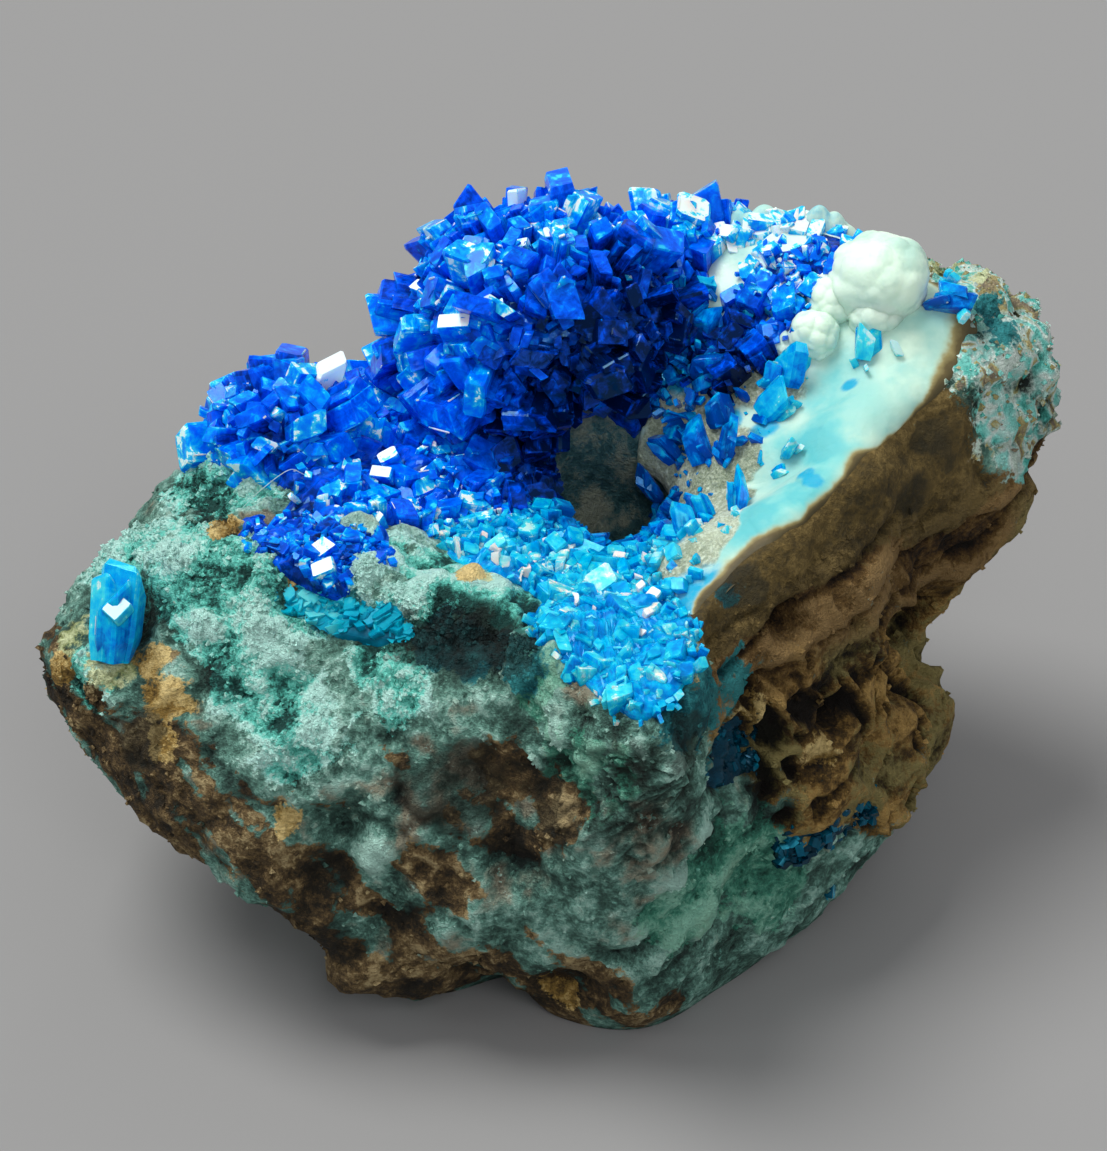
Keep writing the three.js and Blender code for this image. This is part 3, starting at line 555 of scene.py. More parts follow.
def broken_relief(points, swell, layers):
    """The broken face. Its upper part is ledges and thin layers drawn out along the layers' way, and its
    lower part is a boxwork of thin upright walls round deep hollows."""
    along, across, out = np.moveaxis(points @ LAYER_FRAME, -1, 0)
    strata = clouds(np.stack([along / 5.0, across, out / 2.5], -1), 0.9, 4, 61, 0.6)
    step = (across + 0.9 * swell + 0.35 * strata) / 1.35
    whole = np.floor(step)
    ledge = 0.55 * (scatter(np.stack([whole, whole, whole], -1), 3) - 0.5)
    ledge = ledge + 0.30 * ease(0.0, 0.3, step - whole) * (1 - ease(0.85, 1.0, step - whole))
    upright = np.stack([along / 1.1, across / 2.6, out / 1.7], -1) + 0.45 * swell[..., None]
    near, second, number = cells(upright, 1.0, 71)
    hollow = ease(0.04, 0.34, second - near)
    boxed = ease(-0.25, 0.2, noise(points / 2.4, 81)) * (1 - 0.8 * layers)
    walls = boxed * (0.22 * (1 - hollow) - hollow * (0.25 + 0.75 * number))
    return mix(0.6, 1.0, layers) * ledge + walls + 0.30 * strata + 0.12 * (ridges(points, 0.8, 3, 91) - 0.5)


def rock_relief(points, zones):
    """Heights over the smooth rock. The green crust is round bumps on bumps with creases between them, and
    the rest is cracked lumps."""
    swell = clouds(points, 5.0, 4, 21)
    near, _, number = cells(points + 0.25 * swell[..., None], 1.5, 31)
    bead = cells(points, 0.62, 41)[0]
    grain = cells(points, 0.34, 45)[0]
    crack = ridges(points, 2.6, 4, 51)
    crust = 0.52 * domed(near) * (0.3 + number) + 0.20 * domed(bead) + 0.08 * domed(grain) - 0.24
    crust = crust + 0.7 * (clouds(points, 2.2, 3, 55) - 0.1)
    chunky = 0.50 * (crack - 0.5) + 0.10 * domed(bead) + 0.22 * clouds(points, 1.6, 4, 57, 0.6)
    rough = 1.1 * (domed(near) * number) + 0.75 * (crack - 0.55) + 0.25 * domed(bead) - 0.15
    green = mix(chunky, crust, np.clip(zones["pale"] + ease(-0.1, 0.3, clouds(points, 6, 2, 101)), 0, 1))
    relief = mix(green, chunky, zones["rust"])
    relief = mix(relief, broken_relief(points, swell, zones["layers"]), zones["broken"])
    band = 0.10 * clouds(points @ LAYER_FRAME / [5.0, 1.0, 2.5], 0.9, 3, 65) + 0.04 * domed(bead)
    relief = mix(relief, band, zones["olive"] * (1 - 0.6 * zones["broken"]))
    relief = mix(relief, rough, zones["crest"]) - 0.12 * zones["crack"]
    # The second value is the colour value: darker in the hollows and lighter on the high spots, as painted
    # shade and painted highlight.
    return 0.55 * swell + relief, 0.5 + relief


def bulge(points, azimuth, ring, radius):
    """A round swelling, 1 at a place on the rock: e to the power of -2.2 (distance / radius) ** 2.5."""
    distance = np.linalg.norm(points - smooth_point(azimuth, ring), axis=-1) / radius
    return np.exp(-2.2 * distance ** 2.5)


def rock_shape(azimuth, ring):
    """Points of the rough rock and its fields: the smooth rock moved along its normals by the relief and by
    the named lumps and hollows, less near the floor and inside the vug. The colour value is made darker in
    the named hollows, as painted shade, and moved lighter or darker by SHADES."""
    points, normals = rock_point(azimuth, ring)
    zones = rock_zones(azimuth, ring, points)
    relief, fine = rock_relief(points, zones)
    for *place, height in SHAPES:
        moved = height * bulge(points, *place)
        relief = relief + moved
        # Painted shade: the named hollows also darken the colour value.
        fine = fine + 0.3 * np.minimum(moved, 0)
    for *place, change in SHADES:
        fine = fine + change * bulge(points, *place)
    tongue = ease(-4, 4, 28 - np.abs(turn_from(azimuth, 232)))
    under_crusts = ease(6.6 + 0.7 * tongue, 7.3 + 0.6 * tongue, ring) * (1 - ease(9.6, 10.2, ring))
    above_floor = ease(0.05, 1.8, points[..., 2])
    height = relief * above_floor * mix(1.0, 0.12, under_crusts) * (1 - 0.6 * ease(9.6, 10.5, ring))
    height = np.where(ring < FOOT_RING, 0.0, height)
    shaped = points + normals * height[..., None]
    sideways = np.stack([clouds(points, 1.6, 3, 111 + k) for k in range(3)], -1)
    shaped = shaped + 0.22 * sideways * (above_floor * (1 - under_crusts) * (ring >= FOOT_RING))[..., None]
    shaped[..., 2] = np.maximum(shaped[..., 2], 0.0)
    zones["relief"] = np.clip(fine, -0.3, 1.5)
    return shaped, zones


def rock_part():
    """The closed rock: a grid of azimuths and rings, with a pole in the middle of the underside and one on
    the hole's floor."""
    columns, rows = rock_columns(), rock_rings()
    ring, azimuth = np.meshgrid(rows, columns, indexing="ij")
    points, fields = rock_shape(azimuth, ring)
    pole_points, pole_fields = rock_shape(np.array([0.0, 0.0]), np.array([0.0, float(LAST_RING)]))
    return {"points": np.concatenate([points.reshape(-1, 3), pole_points]),
            "faces": closed_faces(len(rows), len(columns)),
            "fields": {key: np.append(value, pole_fields[key]) for key, value in fields.items()}}


# ---- Crusts and crystals ----

def crust_part(azimuths, rings, thickness, columns, rows, bump=0.3, bump_size=0.9, seed=1, low=-0.25,
               fray=0.5):
    """A closed sheet on the rock between two azimuths and two rings, with round bumps on it. It thins to
    nothing at an outline that wanders inside those limits, and sinks into the rock past it."""
    azimuth, ring, across, along = sheet_places(azimuths, rings, columns, rows)
    base, normals = rock_point(azimuth, ring)
    inward = 1 - (np.abs(across) ** 4 + np.abs(along) ** 4) ** 0.25
    inward = np.minimum(inward + fray * (clouds(base, 2.0, 3, seed + 40) - 0.1), 4 * inward)
    round_off = np.sqrt(np.clip(inward / 0.3, 0, 1))
    near, _, number = cells(base, bump_size, seed)
    height = thickness + bump * domed(near) * (0.4 + number) + 0.4 * bump * clouds(base, 1.8, 3, seed)
    top = base + normals * mix(low, height, round_off)[..., None]
    bottom = base + normals * (low - 0.1)
    faces = sheet_faces(columns, rows)
    below = np.zeros(columns * rows)
    # The tip value paints the bumps' tops lighter, a painted highlight; the tone is darkened near the middle
    # under the dome, a painted shade.
    fields = {"tip": np.concatenate([0.25 * domed(near).ravel(), below]),
              "tone": np.concatenate([(0.6 * number * painted_lighting(base)).ravel(), below])}
    return {"points": np.concatenate([top.reshape(-1, 3), bottom.reshape(-1, 3)]), "faces": faces,
            "fields": fields, **unmarked(faces)}


# Painted shade: crystals and crusts near this middle are painted darker, as in the shade under the dome by
# the hole.
PAINTED_SHADE_MIDDLE = (3.0, 8.7, 18.0)  # the middle of the dark place
PAINTED_SHADE_REACH = (4.2, 8.5)        # crystals are dark nearer to it than this, and bright farther away
# A point on the line that the hole opens along, that line's way, and the clear radius round it.
HOLE_LINE = ((2.2, 7.6, 16.6), (0.0, -0.80, 0.60))
HOLE_CLEAR = 2.3


def painted_lighting(points):
    """Painted light on the blue, 0 to 1: painted shade under the dome, by the hole, and brighter away from
    there.
    """
    return ease(*PAINTED_SHADE_REACH, np.linalg.norm(points - np.array(PAINTED_SHADE_MIDDLE), axis=-1))


def off_the_hole(points):
    """How far points are from the line that the hole opens along, in its clear widths."""
    point, way = (np.array(value) for value in HOLE_LINE)
    from_point = points - point
    aside = from_point - (from_point @ way)[..., None] * way
    return np.linalg.norm(aside, axis=-1) / HOLE_CLEAR


SIDES = 8                      # of a crystal
SECTIONS = 4                   # at its foot, waist, shoulder and end
CRYSTAL_POINTS = SECTIONS * SIDES
SIDE_FACES = CRYSTAL_POINTS - SIDES
WAIST = 0.3                    # as a share of the length
FOOT_SHARE = 0.8               # the foot's width, as a share of the waist's
MOST_BEVEL = 0.35              # the bevel's height at most, as a share of the length
END_UV = 0.03                  # the place in the streaks of a crystal's end and foot


def crystals_part(foot, axis, width, depth, length, random, chamfer=(0.04, 0.32), slope=0.35,
                  bevel=(0.84, 0.99), tone=None, facing=None, single=False):
    """Eight-sided crystals, all at once. A section is an oblong with cut corners, a little narrower at the
    foot and bevelled at the end, and the end slopes. Each is turned about its own axis at random, or so
    that its broad side looks along `facing`. Crystals that would close the hole are left out, unless they
    are single ones."""
    n = len(foot)
    axis = unit(axis)
    one = np.ones(n)
    cut_x, cut_y = 1 - random.uniform(*chamfer, n), 1 - random.uniform(*chamfer, n)
    x = np.stack([one, cut_x, -cut_x, -one, -one, -cut_x, cut_x, one], 1)
    y = np.stack([cut_y, one, one, cut_y, -cut_y, -one, -one, -cut_y], 1)
    x = x + y * random.uniform(-0.3, 0.3, n)[:, None]
    x, y = x * width[:, None] / 2, y * depth[:, None] / 2
    end = random.uniform(*bevel, n)
    share = np.stack([FOOT_SHARE * one, one, one, end], 1)[:, :, None]
    bevel_height = (1 - end) * width / np.maximum(length, 1e-6) * random.uniform(0.4, 1.2, n)
    level = np.stack([0 * one, WAIST * one, 1 - np.minimum(bevel_height, MOST_BEVEL), one], 1)
    local_x, local_y = share * x[:, None, :], share * y[:, None, :]
    slope_x, slope_y = random.uniform(-slope, slope, n), random.uniform(-slope, slope, n)
    sloping = np.array([0, 0, 0.8, 1.0])[None, :, None]  # how much each section follows the end's slope
    local_z = length[:, None, None] * level[:, :, None] + sloping * (
        slope_x[:, None, None] * local_x + slope_y[:, None, None] * local_y)
    twist = random.uniform(0, 2 * np.pi, n)
    aside = unit(np.cross(axis, np.where(np.abs(axis[:, 2:3]) < 0.9, [[0.0, 0, 1]], [[1.0, 0, 0]])))
    across = aside * np.cos(twist)[:, None] + np.cross(axis, aside) * np.sin(twist)[:, None]
    if facing is not None:
        across = unit(np.cross(facing, axis))
    through = np.cross(axis, across)
    points = (foot[:, None, None] + local_x[..., None] * across[:, None, None]
              + local_y[..., None] * through[:, None, None] + local_z[..., None] * axis[:, None, None])
    if tone is None:
        tone = random.uniform(0, 1, n)
    reach = foot + axis * length[:, None]
    tone = tone + 0.45 * clouds(foot, 2.6, 2, 301)
    # Painted shade: crystals whose ends come near the middle under the dome are darkened.
    tone = tone * mix(0.3, 1.0, painted_lighting(reach)) - 0.95 * (1 - painted_lighting(reach))
    kept = (off_the_hole(reach) > 1) | single
    return crystal_mesh(points.reshape(n, CRYSTAL_POINTS, 3)[kept], level[kept], tone[kept])


def crystal_mesh(points, level, tone):
    """Faces, fields and UVs of eight-sided crystals whose points are four sections, foot first. U runs
    round a crystal and V up it. Each side, bevel and end has a random value of its own."""
    n = len(points)
    start = (np.arange(n) * CRYSTAL_POINTS)[:, None]
    side, tier = (grid.ravel() for grid in
                  np.meshgrid(np.arange(SIDES), np.arange(SECTIONS - 1), indexing="ij"))
    low, low_next = tier * SIDES + side, tier * SIDES + (side + 1) % SIDES
    quads = np.stack([low, low_next, low_next + SIDES, low + SIDES], -1)
    faces = [(start[:, :, None] + quads[None]).reshape(-1, 4),
             start + np.arange(SIDE_FACES, CRYSTAL_POINTS)[None], start + np.arange(SIDES - 1, -1, -1)[None]]
    u = np.stack([side, side + 1, side + 1, side], -1) / SIDES
    v = level[:, np.stack([tier, tier, tier + 1, tier + 1], -1)]
    uv = np.concatenate([np.stack([np.broadcast_to(u, v.shape), v], -1).reshape(-1, 2),
                         np.full((2 * SIDES * n, 2), END_UV)])
    key = np.floor(points[:, 0] * 1000)[:, None, :]
    own = np.append(side + SIDES * (tier == 2), CRYSTAL_POINTS - 1)
    facet = scatter(key + np.stack([own] * 3, -1) * [1, 0, 0], 77)
    return {"points": points.reshape(-1, 3), "faces": faces, "uv": uv,
            "facets": np.concatenate([facet[:, :SIDE_FACES].ravel(), facet[:, SIDE_FACES], np.full(n, 0.5)]),
            "fields": {"tip": np.repeat(level, SIDES), "tone": np.repeat(tone, CRYSTAL_POINTS)}}


RIM_SHARE = 0.6  # of the lit edges, those that lie round an end


def lit_edges(part, count, random, thickness=(0.04, 0.10), tone=2.2):
    """Slivers painted pale along crystals' edges, as painted highlights: from a share of the way along an
    edge, of the end or of a side, towards the edge's other corner."""
    corners = part["points"].reshape(-1, CRYSTAL_POINTS, 3)
    which, side = random.integers(0, len(corners), count), random.integers(0, SIDES, count)
    on_rim = random.uniform(0, 1, count) < RIM_SHARE
    waist, shoulder, end = SIDES, 2 * SIDES, 3 * SIDES
    start = np.where(on_rim, end + side, waist + side)
    stop = np.where(on_rim, end + (side + 1) % SIDES, shoulder + side)
    near, far = corners[which, start], corners[which, stop]
    foot = mix(near, far, random.uniform(0.0, 0.5, count)[:, None])
    length = np.linalg.norm(far - foot, axis=-1) * random.uniform(0.5, 1.0, count)
    width = random.uniform(*thickness, count)
    depth = width * random.uniform(0.5, 1, count)
    return crystals_part(foot, far - foot + 1e-6, width, depth, length, random, slope=0.1,
                         tone=np.full(count, tone))


def grown_together(foot, axis, width, depth, length, copies, random):
    """Parallel growth: each crystal becomes several with nearly its axis, set aside by part of its width
    and cut to other lengths."""
    n = len(foot) * copies
    foot, axis = np.repeat(foot, copies, 0), np.repeat(axis, copies, 0)
    width, depth, length = (np.repeat(value, copies) for value in (width, depth, length))
    first = np.arange(n) % copies == 0
    scale = np.where(first, 1.0, random.uniform(0.4, 0.8, n))
    shift = random.normal(0, 1, (n, 3))
    shift -= axis * (shift * axis).sum(1, keepdims=True)
    foot = foot + np.where(first, 0, 1)[:, None] * unit(shift) * (0.42 * width)[:, None]
    axis = unit(axis + random.normal(0, 0.06, (n, 3)))
    length = length * np.where(first, 1.0, random.uniform(0.65, 1.0, n))
    return foot, axis, width * scale, depth * scale, length


EVEN_STEPS = (0.7548777, 0.5698403)  # steps that fill a square evenly, when whole numbers are dropped
SUNK = 0.35                          # how deep a crystal's foot is in the surface under it


def spread(count, azimuths, rings, random):
    """Even scatter over a range of azimuths and rings: steps of two irrational shares, with some jitter."""
    start, number = random.uniform(), np.arange(count)
    return [mix(*ends, (start + number * step + random.normal(0, 0.01, count)) % 1)
            for ends, step in zip((azimuths, rings), EVEN_STEPS)]


def druse_crystals(count, azimuths, rings, width, height, random, lean=(0, 0, 0.4), wild=0.35, lift=0.2,
                   copies=1, thin=(0.4, 0.95), pale=0.0, **shape):
    """Crystals on the rock over a range of azimuths and rings, tilted from its normal by a lean and by
    chance. `pale` is added to their tone, before the painted shade."""
    azimuth, ring = spread(count, azimuths, rings, random)
    foot, normals = rock_point(azimuth, ring, np.full(count, lift - SUNK))
    axis = unit(normals + np.array(lean) + random.normal(0, wild, (count, 3)))
    size = random.uniform(0, 1, count) ** 1.5
    wide = mix(*width, size)
    long = mix(*height, size) * random.uniform(0.75, 1.2, count) + SUNK
    deep = wide * random.uniform(*thin, count)
    grown = grown_together(foot, axis, wide, deep, long, copies, random)
    tone = pale + random.uniform(0, 1, count * copies)
    return crystals_part(*grown, random, tone=tone, **shape)


# The way from the rock that lies midway between the sun and the front.
GLINT_WAY = (-0.22, -0.38, 0.90)
# Painted glint: this face value paints a crystal's end white, standing in for the sun's reflection.
PAINTED_GLINT_WHITE = 1.7  # a face value that makes a face white


def glints(rows, random):
    """Crystals with a level end that faces midway between the sun and the front, painted white as a painted
    glint: each row is a foot, a width, a depth and a length."""
    foot = np.array([row[0] for row in rows], float)
    width, depth, length = np.array([row[1:] for row in rows], float).T
    axis = np.array(GLINT_WAY) + random.normal(0, 0.015, (len(rows), 3))
    part = crystals_part(foot, axis, width, depth, length, random, slope=0.02,
                         tone=random.uniform(0.6, 1, len(rows)), single=True)
    part["facets"][SIDE_FACES * len(rows):(SIDE_FACES + 1) * len(rows)] = PAINTED_GLINT_WHITE
    return part


def golden_ball(count, lowest):
    """Directions spread evenly over part of a ball: each is a golden angle round from the one before and a
    little lower."""
    number = np.arange(count)
    height = mix(1.0, lowest, (number + 0.5) / count)
    across = np.sqrt(1 - height ** 2)
    angle = number * math.pi * (3 - math.sqrt(5))
    return np.stack([across * np.cos(angle), across * np.sin(angle), height], -1)


def radiating(middle, radii, count, lowest, width, height, random, wild=0.16, copies=1, thin=(0.6, 0.95),
              pale=0.0, **shape):
    """Crystals that radiate from a round mass. `pale` is added to their tone, before the painted shade."""
    way = unit(golden_ball(count, lowest) + random.normal(0, 0.05, (count, 3)))
    size = random.uniform(0, 1, count) ** 1.4
    wide = mix(*width, size)
    deep = wide * random.uniform(*thin, count)
    long = mix(*height, size) * random.uniform(0.8, 1.25, count) + SUNK
    foot = np.array(middle) + way * np.array(radii) - way * SUNK
    axis = unit(way / np.array(radii) * np.mean(radii) + random.normal(0, wild, (count, 3)))
    grown = grown_together(foot, axis, wide, deep, long, copies, random)
    return crystals_part(*grown, random, tone=pale + random.uniform(0, 1, count * copies), **shape)


def ball_part(middle, radii, columns, rows, relief, seed=1):
    """A closed ball or oval whose radius varies by a relief function of place."""
    lean, turn = np.meshgrid(np.linspace(0, math.pi, rows + 2)[1:-1],
                             np.arange(columns) * 2 * math.pi / columns, indexing="ij")
    way = np.stack([np.sin(lean) * np.cos(turn), np.sin(lean) * np.sin(turn), -np.cos(lean)], -1)
    way = np.concatenate([way.reshape(-1, 3), [[0, 0, -1.0], [0, 0, 1.0]]])
    base = np.array(middle) + way * np.array(radii)
    height, tip = relief(base, way)
    faces = closed_faces(rows, columns)
    return {"points": base + way * height[:, None], "faces": faces, **unmarked(faces),
            "fields": {"tip": tip, "tone": scatter(np.floor(base * 1.5), seed)}}


# A grain's six corners and eight faces, faces outward.
GRAIN_CORNERS = np.array([(1, 0, 0), (-1, 0, 0), (0, 1, 0), (0, -1, 0), (0, 0, 1), (0, 0, -1)], float)
GRAIN_SIDES = np.array(
    [(0, 2, 4), (2, 1, 4), (1, 3, 4), (3, 0, 4), (2, 0, 5), (1, 2, 5), (3, 1, 5), (0, 3, 5)])


def granules_part(count, azimuths, rings, size, random, thickly):
    """Loose-looking grains on the rough rock: eight-sided solids with their corners pushed about. A grain
    stays where a random number is under the density that `thickly` gives from the rock's fields."""
    azimuth, ring = random.uniform(*azimuths, count), random.uniform(*rings, count)
    points, fields = rock_shape(azimuth, ring)
    stays = random.uniform(0, 1, count) < thickly(fields)
    points, fields = points[stays], {key: value[stays] for key, value in fields.items()}
    n = len(points)
    radius = mix(*size, random.uniform(0, 1, n) ** 2)[:, None, None]
    pushed = GRAIN_CORNERS[None] + random.uniform(-0.4, 0.4, (n, 6, 3))
    grains = points[:, None] + pushed * radius
    grains[..., 2] = np.maximum(grains[..., 2], 0)
    faces = [(np.arange(n)[:, None, None] * 6 + GRAIN_SIDES[None]).reshape(-1, 3)]
    fields["relief"] = fields["relief"] + random.uniform(-0.12, 0.22, n)
    fields["hue"] = random.uniform(0, 1, n)
    return {"points": grains.reshape(-1, 3), "faces": faces,
            "fields": {key: np.repeat(value, 6) for key, value in fields.items()}}


def white_fields(count, **given):
    """The fields of the white finish: 0 unless given."""
    return {name: np.zeros(count) + given.get(name, 0.0) for name in ("sugar", "aqua", "blue", "gold")}


FIBRE = ((-12.2, 3.4, 17.5), (-11.4, 3.9, 18.1), (-10.4, 4.6, 18.5), (-9.9, 4.7, 18.3), (-9.2, 4.5, 17.9))
FIBRE_WIDTH = 0.03
FIBRE_SIDES = 5
FIBRE_STEPS = 12  # between one place and the next


def fibre_part():
    """A thin closed tube along a cubic through the fibre's places."""
    places = np.array(FIBRE, float)
    before, after = np.vstack([places[:1], places[:-1]]), np.vstack([places[1:], places[-1:]])
    slopes = (after - before) / 2
    t = np.linspace(0, 1, FIBRE_STEPS, endpoint=False)[None, :, None]
    path = hermite(places[:-1, None], slopes[:-1, None], places[1:, None], slopes[1:, None], t).reshape(-1, 3)
    path = np.vstack([path, places[-1:]])
    along = unit(np.gradient(path, axis=0))
    aside = unit(np.cross(along, [0.1, 0.3, 1.0]))
    other = np.cross(along, aside)
    angle = np.arange(FIBRE_SIDES) * 2 * math.pi / FIBRE_SIDES
    ring = aside[:, None] * np.cos(angle)[:, None] + other[:, None] * np.sin(angle)[:, None]
    points = (path[:, None] + ring * FIBRE_WIDTH / 2).reshape(-1, 3)
    points = np.vstack([points, path[:1], path[-1:]])
    return {"points": points, "faces": closed_faces(len(path), FIBRE_SIDES),
            "fields": white_fields(len(points))}


# ---- Finishes ----

class Recipe:
    """A material's nodes, under short names. Sizes and depths are in millimetres."""

    def __init__(self, name):
        self.material = bpy.data.materials.new(name)
        self.material.use_nodes = True
        self.tree = self.material.node_tree
        self.tree.nodes.clear()
        self.place = self.node("ShaderNodeTexCoord", {}, "Object")

    def node(self, kind, inputs, output=0, **settings):
        """An output of a new node. Its inputs are given as values or as other nodes' outputs."""
        node = self.tree.nodes.new(kind)
        for name, value in settings.items():
            setattr(node, name, value)
        for name, value in inputs.items():
            if isinstance(value, bpy.types.NodeSocket):
                self.tree.links.new(value, node.inputs[name])
            else:
                node.inputs[name].default_value = value
        return node.outputs[output] if node.outputs else None

    def field(self, name):
        """A value that the mesh carries under this name."""
        return self.node("ShaderNodeAttribute", {}, "Fac", attribute_name=name)

    def noise(self, place, scale, detail=2.0, keep=0.5, warp=0.0):
        """Blender's noise at a place, times a scale."""
        values = {"Vector": place, "Scale": scale, "Detail": detail, "Roughness": keep, "Distortion": warp}
        return self.node("ShaderNodeTexNoise", values, "Fac")

    def clouds(self, size, detail=4.0, keep=0.55, warp=0.0):
        """Noise with features of this size, spread over 0 to 1."""
        return self.step(self.noise(self.place, 1 / (size * MM), detail, keep, warp), 0.32, 0.68)

    def cells(self, size):
        """The distance to the middle of the nearest of scattered cells."""
        return self.node("ShaderNodeTexVoronoi", {"Vector": self.place, "Scale": 1 / (size * MM)}, "Distance")

    def maths(self, operation, a, b=0.0):
        """Two values, put together by one of Blender's operations."""
        return self.node("ShaderNodeMath", {0: a, 1: b}, operation=operation)

    def total(self, *weighted):
        """The sum of values, each with its weight."""
        result = 0.0
        for value, weight in weighted:
            result = self.maths("ADD", self.maths("MULTIPLY", value, weight), result)
        return result

    def step(self, value, low, high):
        """0 below low, 1 above high, and an S-shaped rise between them."""
        return self.node("ShaderNodeMapRange", {"Value": value, "From Min": low, "From Max": high}, "Result",
                         interpolation_type="SMOOTHSTEP")

    def ramp(self, value, *stops):
        """A colour for each value, between stops: each is a position and a colour."""
        colour = self.node("ShaderNodeValToRGB", {"Fac": value}, "Color")
        elements = colour.node.color_ramp.elements
        while len(elements) < len(stops):
            elements.new(0.5)
        for element, (position, shade) in zip(elements, stops):
            element.position = position
            element.color = (*shade, 1)
        return colour

    def blend(self, share, a, b, mode="MIX"):
        """Colour a at share 0, and colour b at share 1."""
        a, b = (colour if isinstance(colour, bpy.types.NodeSocket) else (*colour, 1) for colour in (a, b))
        return self.node("ShaderNodeMix", {"Factor": share, 6: a, 7: b}, 2, data_type="RGBA", blend_type=mode)

    def bump(self, height, depth, under=None):
        """A bump that is this deep in millimetres where the height goes from 0 to 1."""
        inputs = {"Distance": depth * MM, "Height": height}
        if under is not None:
            inputs["Normal"] = under
        return self.node("ShaderNodeBump", inputs, "Normal")

    def stretched(self, *scale):
        """The UV place, stretched, for streaks along a crystal."""
        return self.node("ShaderNodeMapping", {"Vector": self.node("ShaderNodeTexCoord", {}, "UV"),
                                               "Scale": scale}, "Vector")

    def finish(self, **values):
        """The material, with one shader and these values on its sockets."""
        values = {name.replace("_", " "): value for name, value in values.items()}
        self.node("ShaderNodeOutputMaterial", {"Surface": self.node("ShaderNodeBsdfPrincipled", values)})
        return self.material


class RockRecipe(Recipe):
    """The rock's recipe, with the values that its colours share: `height` is 0 in the hollows and 1 on the
    high spots, and `steep` is the same with more contrast. The colours follow them, so the hollows carry
    painted shade and the high spots painted highlights."""

    def __init__(self):
        super().__init__("matrix_rock")
        self.speck = self.clouds(0.12, 3, 0.7)
        self.grain = self.clouds(0.34, 4, 0.65)
        self.blotch, self.broad, self.relief = (self.field(name) for name in ("blotch", "broad", "relief"))
        mixed = self.total((self.blotch, 0.22), (self.grain, 0.17), (self.speck, 0.08), (self.relief, 0.65),
                           (self.broad, 0.10))
        self.height, self.steep = self.step(mixed, 0.30, 0.94), self.step(mixed, 0.36, 0.88)

    def patch(self, name, low=0.34, high=0.62):
        """How much of a named patch is here: its field, frayed by the noises and kept out of the hollows."""
        frayed = self.total((self.field(name), 1.0), (self.grain, 0.36), (self.blotch, 0.46),
                            (self.speck, 0.14), (self.relief, -0.25))
        return self.step(self.maths("SUBTRACT", frayed, 0.37), low, high)

    def layer(self, under, name, *stops, edges=(0.34, 0.62)):
        """A patch's own colours, over the colours under it."""
        return self.blend(self.patch(name, *edges), under, self.ramp(self.height, *stops))


def crust_colour(r):
    """The green crust, with bare grey stone, verdigris and pale patches, each lighter on the high spots and
    darker in the hollows as painted highlight and painted shade.
    """
    green = r.ramp(r.height, (0.05, (0.006, 0.016, 0.014)), (0.28, (0.036, 0.090, 0.074)),
                   (0.50, (0.076, 0.185, 0.148)), (0.74, (0.18, 0.40, 0.33)), (1.0, (0.46, 0.76, 0.66)))
    stone = r.ramp(r.height, (0.05, (0.020, 0.016, 0.012)), (0.50, (0.10, 0.085, 0.060)),
                   (1.0, (0.34, 0.33, 0.24)))
    bare = r.total((r.broad, 0.6), (r.blotch, 0.5), (r.grain, 0.1), (r.field("pale"), -0.9))
    colour = r.blend(r.step(bare, 0.70, 1.0), green, stone)
    verdigris = r.ramp(r.height, (0.1, (0.010, 0.07, 0.05)), (0.55, (0.05, 0.30, 0.20)),
                       (1.0, (0.27, 0.64, 0.47)))
    colour = r.blend(r.maths("MULTIPLY", r.patch("verdigris"), 0.8), colour, verdigris)
    pale = r.ramp(r.steep, (0.08, (0.010, 0.065, 0.057)), (0.28, (0.050, 0.28, 0.235)),
                  (0.46, (0.12, 0.60, 0.50)), (0.66, (0.22, 0.83, 0.71)), (0.94, (0.58, 0.98, 0.89)))
    return r.blend(r.patch("pale", 0.22, 0.50), colour, pale)


def broken_colour(r):
    """The broken face: umber layers above, and golden and mossy walls below."""
    golden = r.ramp(r.height, (0.10, (0.006, 0.003, 0.001)), (0.32, (0.034, 0.019, 0.005)),
                    (0.58, (0.120, 0.068, 0.016)), (0.80, (0.29, 0.170, 0.044)), (1.0, (0.60, 0.38, 0.12)))
    mossy = r.ramp(r.height, (0.10, (0.006, 0.006, 0.002)), (0.52, (0.090, 0.072, 0.020)),
                   (1.0, (0.36, 0.30, 0.11)))
    walls = r.blend(r.step(r.total((r.broad, 0.7), (r.grain, 0.3)), 0.45, 0.70), golden, mossy)
    umber = r.ramp(r.height, (0.12, (0.006, 0.003, 0.001)), (0.38, (0.040, 0.020, 0.006)),
                   (0.60, (0.105, 0.056, 0.015)), (0.85, (0.20, 0.115, 0.034)), (1.0, (0.36, 0.23, 0.09)))
    return r.blend(r.field("layers"), walls, umber)


def crest_colour(r):
    """The lumpy crest at the right: each small cell has a hue of its own, with painted shade in the hollows.
    """
    hues = r.ramp(r.total((r.field("hue"), 0.9), (r.grain, 0.1)), (0.10, (0.10, 0.60, 0.52)),
                  (0.30, (0.34, 0.88, 0.80)), (0.50, (0.86, 1.0, 0.94)), (0.66, (0.62, 0.82, 0.70)),
                  (0.75, (0.60, 0.52, 0.22)), (0.90, (0.30, 0.25, 0.18)))
    shade = r.ramp(r.height, (0.12, (0.02, 0.03, 0.03)), (0.34, (0.42, 0.50, 0.48)), (0.66, (1.0, 1.0, 1.0)))
    return r.blend(1.0, hues, shade, "MULTIPLY")


